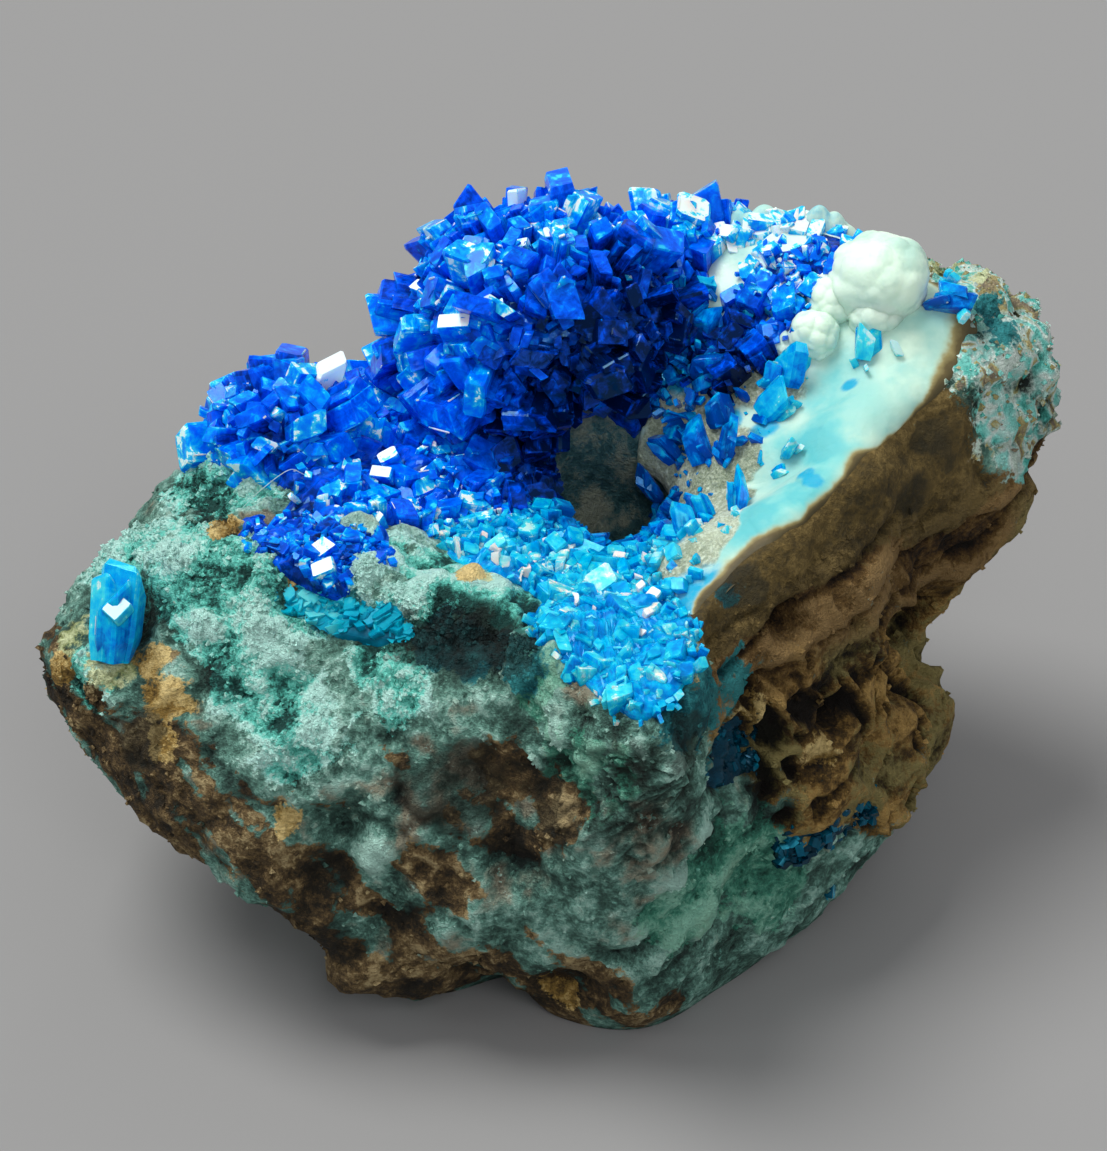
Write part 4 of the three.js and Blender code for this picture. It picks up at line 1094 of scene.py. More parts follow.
def patch_colours(r, colour):
    """Lime, golden and teal patches over the rock's colours, then painted shadows and dark cracks, then the
    vug's inside, painted dark as shade.
    """
    colour = r.layer(colour, "lime", (0.1, (0.05, 0.06, 0.02)), (0.5, (0.34, 0.40, 0.16)),
                     (0.9, (0.80, 0.88, 0.52)), edges=(0.55, 0.85))
    colour = r.layer(colour, "gold", (0.10, (0.035, 0.020, 0.007)), (0.50, (0.36, 0.225, 0.055)),
                     (1.0, (0.94, 0.73, 0.32)), edges=(0.5, 0.72))
    colour = r.layer(colour, "teal", (0.05, (0.0, 0.020, 0.028)), (0.5, (0.0, 0.085, 0.105)),
                     (1.0, (0.04, 0.30, 0.32)), edges=(0.5, 0.75))
    # Painted shadow patches and the real cracks both darken the colour towards near black.
    dark = r.maths("MAXIMUM", r.maths("MULTIPLY", r.patch("dusk", 0.4, 0.75), 0.7),
                   r.maths("MULTIPLY", r.field("crack"), 0.7))
    colour = r.blend(dark, colour, (0.010, 0.012, 0.008))
    # Painted shade: the inside of the vug is painted dark, as a wall in deep shadow.
    inner = r.ramp(r.height, (0.1, (0.01, 0.06, 0.07)), (0.55, (0.06, 0.16, 0.17)), (1.0, (0.30, 0.34, 0.26)))
    return r.blend(r.field("inner"), colour, inner)


def rock_material():
    """Weathered rock: a green granular crust with pale high spots, a brown broken face with golden walls,
    and rusty, golden, pale and teal patches, each with frayed edges."""
    r = RockRecipe()
    colour = r.layer(crust_colour(r), "rust", (0.05, (0.007, 0.006, 0.004)), (0.35, (0.026, 0.020, 0.011)),
                     (0.60, (0.085, 0.055, 0.024)), (0.80, (0.20, 0.135, 0.058)), (1.0, (0.50, 0.39, 0.20)))
    colour = r.blend(r.patch("broken"), colour, broken_colour(r))
    colour = r.layer(colour, "olive", (0.08, (0.028, 0.021, 0.006)), (0.55, (0.098, 0.067, 0.020)),
                     (1.0, (0.22, 0.155, 0.055)))
    colour = r.blend(r.patch("crest"), colour, crest_colour(r))
    roughness = r.total((r.field("olive"), -0.7), (r.field("broken"), 0.8))
    fine = r.maths("MULTIPLY", r.total((r.grain, 0.55), (r.speck, 0.45)), r.maths("ADD", 1.0, roughness))
    return r.finish(Base_Color=patch_colours(r, colour), Normal=r.bump(fine, 0.24), Specular_IOR_Level=0.25,
                    Roughness=r.step(r.total((r.grain, 0.3), (r.blotch, 0.3)), -1.2, 0.75))


def white_material():
    """Hemimorphite: cream and sugary by the crystals, smooth and aqua outwards, golden at its outer edge,
    and stained blue where crystals grow from it."""
    r = Recipe("white_hemimorphite")
    broad = r.clouds(2.2, 4, 0.5)
    grain = r.clouds(0.15, 4, 0.65)
    sugar = r.step(r.total((r.field("sugar"), 1.0), (broad, 0.25)), 0.45, 0.75)
    cream = r.ramp(r.total((broad, 0.45), (grain, 0.55)), (0.15, (0.24, 0.30, 0.21)),
                   (0.5, (0.42, 0.49, 0.36)), (0.9, (0.66, 0.76, 0.60)))
    waxy = r.ramp(r.total((broad, 0.55), (r.field("aqua"), 0.60)), (0.02, (0.66, 0.85, 0.71)),
                  (0.20, (0.50, 0.70, 0.59)), (0.45, (0.36, 0.61, 0.54)), (0.8, (0.18, 0.53, 0.52)),
                  (1.0, (0.11, 0.47, 0.50)))
    colour = r.blend(sugar, waxy, cream)
    blue = r.step(r.total((r.field("blue"), 1.0), (r.clouds(0.5, 4), 0.35)), 0.35, 1.25)
    colour = r.blend(blue, colour, (0.01, 0.34, 0.54))
    gold = r.step(r.total((r.field("gold"), 1.0), (broad, 0.30)), 0.20, 1.10)
    colour = r.blend(r.step(gold, 0.0, 0.30), colour, r.ramp(
        gold, (0.05, (0.50, 0.54, 0.33)), (0.30, (0.27, 0.23, 0.10)), (0.50, (0.115, 0.088, 0.036)),
        (0.75, (0.075, 0.060, 0.026)), (1.0, (0.060, 0.050, 0.022))))
    fine = r.bump(r.maths("MULTIPLY", r.total((grain, 0.7), (r.cells(0.13), 0.5)), sugar), 0.10)
    normal = r.bump(r.clouds(0.9, 3, 0.5), 0.03, fine)
    return r.finish(Base_Color=colour, Normal=normal, Roughness=0.55, Specular_IOR_Level=0.22,
                    Subsurface_Weight=0.30, Subsurface_Radius=(1.0, 1.0, 0.8), Subsurface_Scale=0.0007)


STREAK_DEPTH = 0.010  # millimetres


def crystal_material(name, stops, clear, gloss, polish=0.04, glow=0.40, cloud_size=0.45):
    """Blue crystal, cloudy inside, with painted shade towards its foot and painted light towards its end,
    some faces darker than others, painted sparkle, and streaks along it."""
    r = Recipe(name)
    cloud = r.clouds(cloud_size, 3, 0.6, 0.4)
    streak = r.noise(r.stretched(46.0, 1.6, 1.0), 1.0)
    value = r.total((r.field("tip"), 0.22), (r.field("tone"), 0.40), (cloud, 0.30), (r.field("facet"), 0.30),
                    (streak, 0.30), (1.0, -0.28))
    # Painted sparkle: bright flecks where the clouds and the streaks are both high.
    painted_sparkle = r.step(r.maths("MULTIPLY", cloud, streak), 0.50, 0.66)
    value = r.total((value, 1.0), (painted_sparkle, 0.16))
    colour = r.ramp(value, *stops)
    normal = r.bump(streak, STREAK_DEPTH)
    rough = r.maths("ADD", r.maths("MULTIPLY", cloud, gloss), polish)
    return r.finish(Base_Color=colour, Normal=normal, Roughness=rough, IOR=1.6, Transmission_Weight=clear,
                    Specular_IOR_Level=0.2, Specular_Tint=(0.25, 0.65, 1.0, 1.0), Subsurface_Weight=glow,
                    Subsurface_Radius=(0.1, 0.5, 1.0), Subsurface_Scale=0.0010)


# The palest stops, near white, are where the painted highlights of lit edges and glints land.
DEEP_BLUES = ((0.04, (0.0, 0.006, 0.05)), (0.22, (0.0, 0.026, 0.26)), (0.42, (0.0, 0.072, 0.72)),
              (0.62, (0.0, 0.140, 1.0)), (0.80, (0.0, 0.34, 1.0)), (0.92, (0.04, 0.66, 1.0)),
              (1.0, (0.75, 0.97, 1.0)))
CLEAR_BLUES = ((0.04, (0.0, 0.08, 0.50)), (0.24, (0.0, 0.25, 0.90)), (0.50, (0.0, 0.50, 1.0)),
               (0.78, (0.06, 0.76, 1.0)), (0.94, (0.60, 0.96, 1.0)))
TURQUOISES = ((0.06, (0.0, 0.10, 0.42)), (0.26, (0.0, 0.26, 0.80)), (0.50, (0.0, 0.50, 0.95)),
              (0.70, (0.05, 0.74, 0.98)), (0.88, (0.50, 0.92, 0.96)), (1.0, (0.92, 0.98, 0.94)))
DUSKY_BLUES = ((0.10, (0.0, 0.008, 0.015)), (0.45, (0.0, 0.032, 0.060)), (0.78, (0.0, 0.13, 0.22)),
               (1.0, (0.05, 0.55, 0.80)))
POOL_BLUES = ((0.10, (0.0, 0.06, 0.11)), (0.40, (0.0, 0.24, 0.42)), (0.70, (0.0, 0.44, 0.66)),
              (1.0, (0.12, 0.66, 0.74)))


# ---- Pieces ----

# Seeds of the random numbers: the specimen's, and those of the pool's lower crystals.
SEED = 11
POOL_SEED = 12

LINING_AZIMUTHS = (-73.0, 61.0)
LINING_RINGS = (6.80, 9.5)
LINING_GRID = (250, 120)
LINING_THICKNESS = 0.6
# Round patches on the lining: azimuth, ring, radius.
SUGAR_PLACES = (
    (46, 8.6, 3.0), (20, 8.9, 3.2), (0, 8.8, 3.0), (-30, 8.6, 2.6), (-55, 8.0, 2.4), (25, 8.2, 2.4),
)
AQUA_PLACES = ((-2, 7.5, 2.4), (-15, 7.6, 2.2), (-30, 7.3, 2.0), (5, 7.7, 2.0), (-45, 7.3, 1.8))
BLUE_PLACES = (
    (-68, 7.3, 1.9), (-62, 8.2, 1.2), (-24, 7.35, 0.5), (-27, 7.2, 0.5), (6, 7.7, 0.5), (38, 7.6, 1.6),
    (30, 8.0, 1.0), (52, 8.4, 1.5), (14, 8.5, 0.6), (-70, 8.4, 1.5), (2, 8.2, 0.8), (-50, 8.6, 0.8),
)


def lining_part():
    """The white lining: a crust that rounds off at its edges, with round bumps outwards and sugary grains
    by the hole."""
    azimuth, ring, across, along = sheet_places(LINING_AZIMUTHS, LINING_RINGS, *LINING_GRID)
    base, normals = rock_point(azimuth, ring)
    wander = clouds(base, 2.4, 4, 201)
    sugar = ease(-0.1, 0.35, inside(base, SUGAR_PLACES) + 0.5 * wander)
    ends = np.sqrt(np.clip(1 - across ** 14, 0, 1) * np.clip(1 - np.maximum(along, 0) ** 14, 0, 1))
    outer = LINING_RINGS[0] + 0.22 * ease(-6, 8, azimuth) * (1 - ease(24, 34, azimuth))
    outer = outer + 0.30 * (1 - ease(-58, -36, azimuth))
    round_off = ends * ease(0.0, 0.75, ring - outer - 0.06 * wander) ** 0.6
    near, _, number = cells(base + 0.2 * wander[..., None], 2.1, 211)
    bead, _, bead_number = cells(base, 0.75, 221)
    height = LINING_THICKNESS + 0.25 * clouds(base, 3.0, 2, 203) + 0.18 * domed(near) * number
    height = height + sugar * (0.12 * domed(bead) * bead_number + 0.06 * clouds(base, 0.3, 2, 231))
    height = height * mix(1.0, 0.55, ease(8.3, 9.3, ring))
    top = base + normals * (height * round_off - 0.1 * (1 - round_off))[..., None]
    bottom = base - 0.25 * normals
    fields = {
        "sugar": sugar,
        "aqua": ease(-0.3, 0.7, inside(base, AQUA_PLACES) + 0.4 * wander),
        "blue": ease(-0.1, 0.5, inside(base, BLUE_PLACES) + 0.35 * wander),
        "gold": 1 - ease(0.0, 0.34, ring - outer - 0.12 * wander),
    }
    return {"points": np.concatenate([top.reshape(-1, 3), bottom.reshape(-1, 3)]),
            "faces": sheet_faces(*LINING_GRID),
            "fields": {name: np.tile(value.ravel(), 2) for name, value in fields.items()}}


BALL_GRID = (96, 60)  # columns and rows of points


def white_ball_part(azimuth, ring, radius, rise, seed):
    """A ball of hemimorphite fibres: bumps on a ball, with fine hair-like ridges down its sides."""
    middle, _ = one_place(azimuth, ring, rise)

    def fibres(base, way):
        """Height and tip value: lobes round cells, fine ridges down the sides, and a broad swell."""
        near, _, number = cells(base, radius * 0.55, seed)
        lobes = 0.13 * radius * domed(near) * (0.4 + number)
        hair = noise(way * [22, 22, 3], seed)
        swell = clouds(base, 1.4 * radius, 3, seed)
        return lobes + 0.010 * radius * hair + 0.12 * radius * swell, domed(near)

    part = ball_part(middle[0], (radius,) * 3, *BALL_GRID, fibres, seed)
    part["fields"] = white_fields(len(part["points"]), aqua=-0.35)
    return part


# Numbers of the floor and the lamps, in millimetres unless they say otherwise.
FLOOR_COLOUR = (0.228, 0.229, 0.232)
FLOOR_REACH = 2000.0
FLOOR_DROP = -0.02
SUN_WAY = (-0.36, 0.18, 0.915)
SUN_DISTANCE = 300
SUN_ENERGY = 2.9
SUN_COLOUR = (1.0, 0.985, 0.95)
SUN_ANGLE = 30  # degrees
CARD_DISTANCE = 220
CARDS = (  # name, direction, size in metres, power in watts
    ("card_left", (-0.85, -0.35, 0.55), 0.036, 0.018),
    ("card_back", (0.10, 0.85, 0.60), 0.036, 0.022),
    ("card_front", (0.15, -0.75, 0.75), 0.070, 0.09),
    ("card_right", (0.85, 0.10, 0.65), 0.024, 0.006),
)
ROOM_LIGHT = 0.54


def add_floor():
    """The pale floor, just under the rock."""
    mesh = bpy.data.meshes.new("floor")
    corners = [(-1, -1), (1, -1), (1, 1), (-1, 1)]
    mesh.from_pydata([(x * FLOOR_REACH * MM, y * FLOOR_REACH * MM, FLOOR_DROP * MM) for x, y in corners],
                     [], [(0, 1, 2, 3)])
    mesh.materials.append(Recipe("floor_grey").finish(Base_Color=(*FLOOR_COLOUR, 1), Roughness=0.95))
    floor = bpy.data.objects.new("floor", mesh)
    bpy.context.scene.collection.objects.link(floor)


def add_light(name, kind, direction, distance, **settings):
    """A light that shines from a direction onto the middle of the rock."""
    light = bpy.data.lights.new(name, kind)
    for key, value in settings.items():
        setattr(light, key, value)
    holder = bpy.data.objects.new(name, light)
    way = Vector(direction).normalized()
    holder.location = Vector(LOOK_AT) * MM + way * distance * MM
    holder.rotation_euler = way.to_track_quat("Z", "Y").to_euler()
    bpy.context.scene.collection.objects.link(holder)


LOOK_AT = (-0.26, 8.25, 10.56)
CAMERA_RISE = math.radians(38)
CAMERA_DISTANCE = 170.0
LENS = 132.93
SENSOR = 36.0


def add_camera():
    """The camera, which looks at the rock from the front and from above."""
    camera = bpy.data.cameras.new("camera")
    camera.lens = LENS
    camera.sensor_fit = "VERTICAL"
    camera.sensor_height = SENSOR
    camera.clip_start = 0.005
    camera.clip_end = 20.0
    holder = bpy.data.objects.new("camera", camera)
    back = Vector((0, -math.cos(CAMERA_RISE), math.sin(CAMERA_RISE)))
    holder.location = (Vector(LOOK_AT) + back * CAMERA_DISTANCE) * MM
    holder.rotation_euler = back.to_track_quat("Z", "Y").to_euler()
    bpy.context.scene.collection.objects.link(holder)
    bpy.context.scene.camera = holder


def add_lights():
    """A warm sun, four cards and an even white room."""
    add_light("sun", "SUN", SUN_WAY, SUN_DISTANCE, energy=SUN_ENERGY, angle=math.radians(SUN_ANGLE),
              color=SUN_COLOUR)
    for name, direction, size, power in CARDS:
        add_light(name, "AREA", direction, CARD_DISTANCE, energy=power, size=size, shape="SQUARE")
    world = bpy.data.worlds.new("room")
    world.use_nodes = True
    background = world.node_tree.nodes["Background"]
    background.inputs["Color"].default_value = (1, 1, 1, 1)
    background.inputs["Strength"].default_value = ROOM_LIGHT
    bpy.context.scene.world = world
    bpy.context.scene.view_settings.view_transform = "Standard"


# The round masses under the crystals: middle, radii.
DOME = ((-0.5, 12.0, 20.2), (4.9, 4.3, 3.8))
LEFT = ((-10.8, 8.2, 17.3), (2.5, 2.1, 1.9))
DOME_GRID = (72, 44)        # columns and rows of points
LEFT_GRID = (48, 30)
POOL_ENDS = (-10.6, -6.4)   # X of the pool's light and dark ends
# Crystals whose ends face the sun's mirror way and are painted white as glints: foot, width, depth, length.
DOME_GLINTS = (
    ((-3.6, 9.2, 20.8), 1.3, 0.6, 2.3), ((1.9, 13.5, 22.6), 0.5, 0.3, 1.9),
    ((0.0, 13.6, 22.8), 0.4, 0.3, 1.9), ((3.1, 11.3, 21.6), 0.35, 0.25, 2.0),
    ((4.3, 11.9, 20.0), 0.8, 0.4, 2.0), ((-5.0, 12.6, 20.3), 0.7, 0.5, 2.0),
    ((2.9, 13.6, 21.8), 0.7, 0.4, 2.0), ((2.2, 9.9, 21.7), 0.3, 0.2, 1.8),
    ((-1.9, 9.2, 21.9), 0.35, 0.25, 1.8),
)
LEFT_GLINTS = (((-11.6, 9.2, 17.9), 0.9, 0.5, 1.8), ((-12.6, 8.6, 17.4), 0.4, 0.3, 1.6))
SADDLE_GLINTS = (
    ((-6.2, 6.6, 16.5), 0.8, 0.5, 2.0), ((-6.5, 5.8, 16.5), 0.9, 0.5, 1.8),
    ((-8.0, 5.2, 16.9), 0.6, 0.3, 1.5), ((-4.9, 6.2, 16.4), 0.4, 0.3, 1.4),
)
GULLY_GLINTS = (((-8.7, 0.4, 17.4), 0.85, 0.7, 1.1), ((-8.65, -0.5, 17.2), 0.9, 0.6, 1.1))
FLOOR_GLINTS = (
    ((0.6, -1.6, 16.6), 0.8, 0.6, 0.8), ((3.6, -1.6, 16.9), 0.6, 0.5, 0.8), ((1.2, 0.3, 16.0), 0.4, 0.4, 0.8),
)
# Pale upright crystals at the dome's top, in the left cluster and by the hole: foot, axis, width, depth,
# length.
DOME_STANDING = (
    ((-1.6, 14.2, 22.8), (-0.05, 0.25, 1.0), 0.8, 0.5, 2.0),
    ((-1.1, 14.1, 22.8), (0.1, 0.2, 1.0), 0.4, 0.4, 1.3),
)
LEFT_STANDING = (
    ((-9.7, 8.6, 17.5), (0.30, 0.2, 1.0), 1.5, 0.8, 3.0),
    ((-9.1, 8.3, 17.5), (0.45, 0.2, 1.0), 0.9, 0.6, 2.4),
    ((-9.9, 7.9, 17.4), (0.15, 0.0, 1.0), 0.8, 0.5, 2.1),
)
SADDLE_STANDING = (
    ((-1.9, 6.4, 16.2), (-0.1, 0.1, 1.0), 0.5, 0.35, 1.5),
    ((-1.5, 6.7, 16.2), (0.15, 0.2, 1.0), 0.4, 0.3, 1.7),
    ((-1.2, 6.1, 16.1), (0.3, 0.0, 1.0), 0.45, 0.3, 1.4),
    ((-2.3, 6.9, 16.3), (-0.3, 0.2, 1.0), 0.4, 0.3, 1.3),
    ((-0.9, 6.9, 16.2), (0.45, 0.3, 1.0), 0.35, 0.25, 1.5),
    ((-2.0, 5.7, 16.1), (0.0, -0.3, 1.0), 0.4, 0.3, 1.1),
)
# Fans of thin crystals along the hole's upper edge: azimuth, ring, longest.
FANS = (
    (61, 7.8, 1.8), (55, 8.1, 1.6), (47, 8.4, 1.7), (40, 8.7, 1.4), (33, 9.0, 1.3), (42, 9.4, 1.3),
    (54, 9.7, 1.2),
)
FAN_COUNT = 12
SATELLITES = 4          # small crystals round a single one
SATELLITE_REACH = 0.55
ON_THE_LINING = 7.2     # rings past this one lie on the lining
# The balls of each piece: azimuth, ring, radius, rise of the middle off the rock.
BALLS = ((23.0, 7.48, 1.8, 1.4), (18.5, 7.60, 1.0, 0.7), (26.5, 7.70, 1.0, 0.8))
SMALL_BALLS = ((21.0, 7.9, 0.95, 0.8), (24.0, 8.05, 0.6, 0.5))

# Single crystals: azimuth, ring, lift off the rock, width, depth, length, tilt.
SINGLE_CRYSTALS = {
    "slope_crystal_01": (14.5, 8.15, 0.6, 1.8, 0.8, 2.1, (0.56, 0.97, 0.6)),
    "slope_crystal_02": (9.0, 8.28, 0.6, 1.4, 0.7, 2.4, (1.46, 0.26, 0.68)),
    "slope_crystal_03": (14.0, 8.55, 0.6, 1.0, 0.6, 1.9, (0, 0.9, 0.4)),
    "slope_crystal_04": (40.0, 8.45, 0.6, 1.4, 0.8, 2.0, (0.33, 0.56, 0.35)),
    "slope_crystal_05": (23.0, 8.95, 0.6, 0.9, 0.6, 2.0, (-0.2, 0.4, 0.3)),
    "slope_crystal_06": (-2.0, 8.68, 0.6, 1.1, 0.6, 2.7, (0.05, 1.5, 0.6)),
    "slope_crystal_07": (-6.0, 8.42, 0.6, 0.9, 0.5, 2.3, (0.9, 0.6, 0.6)),
    "slope_crystal_08": (-11.0, 7.85, 0.5, 0.6, 0.5, 1.9, (0.9, -0.4, 0.3)),
    "slope_crystal_09": (11.0, 7.66, 0.5, 1.2, 0.7, 2.1, (0.34, 1.26, 0.62)),
    "slope_crystal_10": (32.0, 9.5, 0.6, 1.3, 0.8, 2.0, (0.3, 0.5, 0.9)),
    "slope_crystal_11": (-54.0, 8.05, 0.6, 0.9, 0.5, 1.7, (0, 0.93, 0.37)),
    "slope_crystal_12": (-36.0, 7.85, 0.6, 0.9, 0.5, 2.2, (0.56, 0.97, 0.6)),
    "slope_crystal_13": (-43.0, 8.15, 0.6, 0.9, 0.5, 1.6, (-0.3, 0.87, 0.25)),
    "slope_crystal_14": (51.0, 8.15, 0.6, 1.4, 0.8, 2.0, (0.46, 0.46, 0.43)),
    "edge_crystal_back": (16.5, 7.25, -0.3, 1.6, 0.7, 1.4, (0.1, -0.6, -0.1)),
    "pocket_crystal_left": (202.6, 5.37, -0.50, 1.7, 1.2, 3.2, (0.42, 1.00, 0.0)),
    "pocket_crystal_right": (-42.0, 3.15, -0.3, 0.9, 0.7, 0.5, (0, -0.2, 0.2)),
}
SINGLE_DARK = {"edge_crystal_back": 1.15, "pocket_crystal_left": 0.55}
SINGLE_COPIES = 3              # grown together
SLOPE_SIZES = (0.78, 0.58)     # shares of the width and depth, and of the length
# The painted white glint across the left pocket's crystal: how far along it, how far aside, and width, depth,
# length.
WEDGE_ALONG = 1.5
WEDGE_SHIFT = np.array([0.25, -0.55, 0.66])
WEDGE_SIZE = (0.9, 0.8, 0.7)


def fan(azimuth, ring, longest, random):
    """Thin crystals that spread from one place, each with the rock's normal tilted by chance."""
    foot, normal = one_place(azimuth, ring, 0.3, FAN_COUNT)
    foot = foot + random.normal(0, 0.25, (FAN_COUNT, 3)) * [1, 1, 0.3]
    width = random.uniform(0.14, 0.34, FAN_COUNT)
    return crystals_part(foot, normal + random.normal(0, 0.55, (FAN_COUNT, 3)), width, width * 0.6,
                         random.uniform(0.5, 1.0, FAN_COUNT) * longest, random, slope=0.8,
                         tone=random.uniform(0.6, 1.5, FAN_COUNT))


def satellites(azimuth, ring, random):
    """Small crystals scattered round the foot of a larger one."""
    foot, normal = one_place(azimuth, ring, 0.5, SATELLITES)
    aside = random.normal(0, SATELLITE_REACH, (SATELLITES, 3))
    foot = foot + aside - (aside * normal).sum(-1, keepdims=True) * normal
    width = random.uniform(0.25, 0.6, SATELLITES)
    return crystals_part(foot, normal + random.normal(0, 0.6, (SATELLITES, 3)), width, width * 0.6,
                         random.uniform(0.3, 0.8, SATELLITES), random, slope=1.0,
                         tone=random.uniform(0.5, 1.4, SATELLITES))


def standing(rows, random, tone=1.9):
    """Separate pale crystals: each row is a foot, an axis, a width, a depth and a length."""
    foot, axis = (np.array([row[k] for row in rows], float) for k in (0, 1))
    width, depth, length = np.array([row[2:] for row in rows], float).T
    return crystals_part(foot, axis, width, depth, length, random, slope=0.5, tone=np.full(len(rows), tone))


def on_crust(fields):
    """How thickly grains lie: much on the pale crust, little elsewhere, and not at all on the broken face,
    on the olive band or inside the vug."""
    bare = np.clip(fields["broken"] + fields["olive"] + fields["inner"], 0, 1)
    return (0.10 + 0.9 * fields["pale"] + 1.2 * fields["crest"]) * (1 - bare)


def on_right_side(fields):
    """As on the crust, with a few grains on the broken face."""
    return on_crust(fields) + 0.12 * (fields["broken"] * (1 - fields["inner"]))


# Grains: name, how many are tried, azimuths, rings, sizes, and how thickly they lie.
GRAINS = (
    ("granules", 26000, (176, 300), (3.2, 6.9), (0.05, 0.17), on_crust),
    ("crumbs", 13000, (-80, 60), (3.2, 7.15), (0.05, 0.20), on_right_side),
)


def rock_and_grains(random):
    """The rock and the grains on its left and right sides."""
    rock = rock_material()
    make_piece("rock", rock_part(), rock, ["matrix"])
    for name, *ranges, thickly in GRAINS:
        make_piece(name, granules_part(*ranges, random, thickly), rock, soft=False)


def white_pieces():
    """The white lining and balls, the crust on the back rim and the fibre."""
    white = white_material()
    make_piece("lining", lining_part(), white, ["white_lining"])
    for name, node, places, seed in (("ball", "white_ball", BALLS, 7),
                                     ("ball_small", "white_ball_small", SMALL_BALLS, 8)):
        balls = joined(*(white_ball_part(*place, seed + k) for k, place in enumerate(places)))
        make_piece(name, balls, white, [node])
    rim = crust_part((33, 66), (6.15, 7.15), 0.40, 90, 40, bump=0.5, bump_size=0.8, seed=23)
    rim["fields"] = white_fields(len(rim["points"]), sugar=0.3, aqua=0.3, blue=0.9 * rim["fields"]["tone"])
    make_piece("rim_crust", rim, white)
    make_piece("fibre", fibre_part(), white)


def dome_relief(base, _):
    """Height and tip value of the round masses under the crystals: a low bump over each cell, whose top the
    tip value paints lighter as a painted highlight.
    """
    near = cells(base, 0.9, 3)[0]
    return 0.35 * (0.5 - near), 0.1 + 0.2 * domed(near)


def make_druse(name, node, material, slot, *parts):
    """One faceted piece from several parts, which stands for one CAD node or for none."""
    make_piece(name, joined(*parts), material, [node] if node else (), soft=False)


def dome(deep, random):
    """The main dome: large and small crystals that radiate from a round mass."""
    blocks = radiating(*DOME, 160, -0.55, (0.9, 1.7), (0.6, 2.0), random, copies=4, thin=(0.4, 0.9), pale=0.1)
    small = radiating(*DOME, 330, -0.6, (0.35, 0.9), (0.5, 1.4), random, wild=0.4, copies=2)
    make_druse("dome", "druse_dome", deep, "deep_blue_crystal",
               ball_part(*DOME, *DOME_GRID, dome_relief), blocks, small,
               lit_edges(blocks, 260, random), lit_edges(small, 120, random, (0.03, 0.07)),
               glints(DOME_GLINTS, random), standing(DOME_STANDING, random))


def left_cluster(deep, random):
    """The smaller dome on the left rim, with crystals on the rim behind it."""
    blocks = radiating(*LEFT, 40, -0.2, (0.8, 1.6), (0.5, 1.6), random, copies=4, thin=(0.4, 0.9), pale=0.1)
    make_druse("left_cluster", "druse_left", deep, "deep_blue_crystal",
               ball_part(*LEFT, *LEFT_GRID, dome_relief), blocks,
               radiating(*LEFT, 110, -0.3, (0.3, 0.7), (0.4, 1.2), random, wild=0.4, copies=2),
               druse_crystals(70, (140, 172), (6.3, 7.4), (0.4, 1.1), (0.3, 1.0), random, copies=2, lift=0.3),
               lit_edges(blocks, 90, random), glints(LEFT_GLINTS, random),
               standing(LEFT_STANDING, random, 1.7))


def rim_druse(deep, random):
    """Crystals on the rim to the right of the dome."""
    blocks = druse_crystals(80, (60, 90), (6.6, 9.2), (0.7, 1.5), (0.4, 1.4), random, copies=3, pale=0.2)
    make_druse("rim_druse", "druse_rim", deep, "deep_blue_crystal",
               crust_part((58, 92), (6.4, 9.4), 0.45, 40, 50, seed=5), blocks, lit_edges(blocks, 70, random),
               druse_crystals(140, (60, 90), (6.6, 9.2), (0.3, 0.7), (0.3, 1.0), random, copies=2))


def saddle_druse(deep, random):
    """Crystals between the dome and the left cluster, down to the hole."""
    blocks = druse_crystals(90, (150, 203), (7.1, 9.3), (0.6, 1.4), (0.3, 1.0), random, copies=3, pale=0.25)
    small = druse_crystals(300, (147, 206), (6.95, 9.4), (0.2, 0.55), (0.3, 0.8), random, copies=2, pale=0.38)
    make_druse("saddle_druse", "druse_saddle", deep, "deep_blue_crystal",
               crust_part((144, 208), (6.8, 9.5), 0.5, 60, 60, seed=6), blocks, small,
               lit_edges(blocks, 110, random), lit_edges(small, 170, random, (0.04, 0.12)),
               glints(SADDLE_GLINTS, random), standing(SADDLE_STANDING, random, 1.5))


def floor_druse(random):
    """The fine turquoise druse in front of the hole: two crusts, each with larger and finer crystals."""
    turquoise = crystal_material("turquoise_crystal", TURQUOISES, clear=0.2, gloss=0.25)
    crystals = partial(druse_crystals, random=random)
    make_druse("floor_druse", "druse_floor", turquoise, "turquoise_crystal",
               crust_part((202, 262), (7.6, 9.5), 0.4, 90, 50, seed=7, bump_size=0.6, fray=0.3),
               crust_part((250, 289), (6.8, 9.5), 0.4, 70, 60, seed=17, bump_size=0.6, fray=0.3),
               crystals(130, (206, 258), (7.8, 9.3), (0.4, 0.9), (0.3, 0.8), copies=2, pale=-0.1),
               crystals(150, (256, 285), (7.0, 9.3), (0.5, 1.1), (0.2, 0.6), copies=2, pale=-0.2),
               crystals(800, (204, 260), (7.7, 9.4), (0.16, 0.42), (0.2, 0.5), wild=0.7, pale=0.1),
               crystals(700, (254, 287), (6.9, 9.4), (0.16, 0.42), (0.2, 0.5), wild=0.7, pale=-0.1),
               crystals(90, (206, 285), (7.6, 9.3), (0.15, 0.45), (0.2, 0.5), pale=1.5, lift=0.35),
               glints(FLOOR_GLINTS, random))


def back_druse(deep, random):
    """Pale low crystals on the back rim."""
    make_druse("back_druse", "druse_back", deep, "deep_blue_crystal",
               druse_crystals(34, (37, 60), (6.6, 7.4), (0.6, 1.1), (0.2, 0.5), random, copies=2, pale=0.9,
                              lift=0.2))


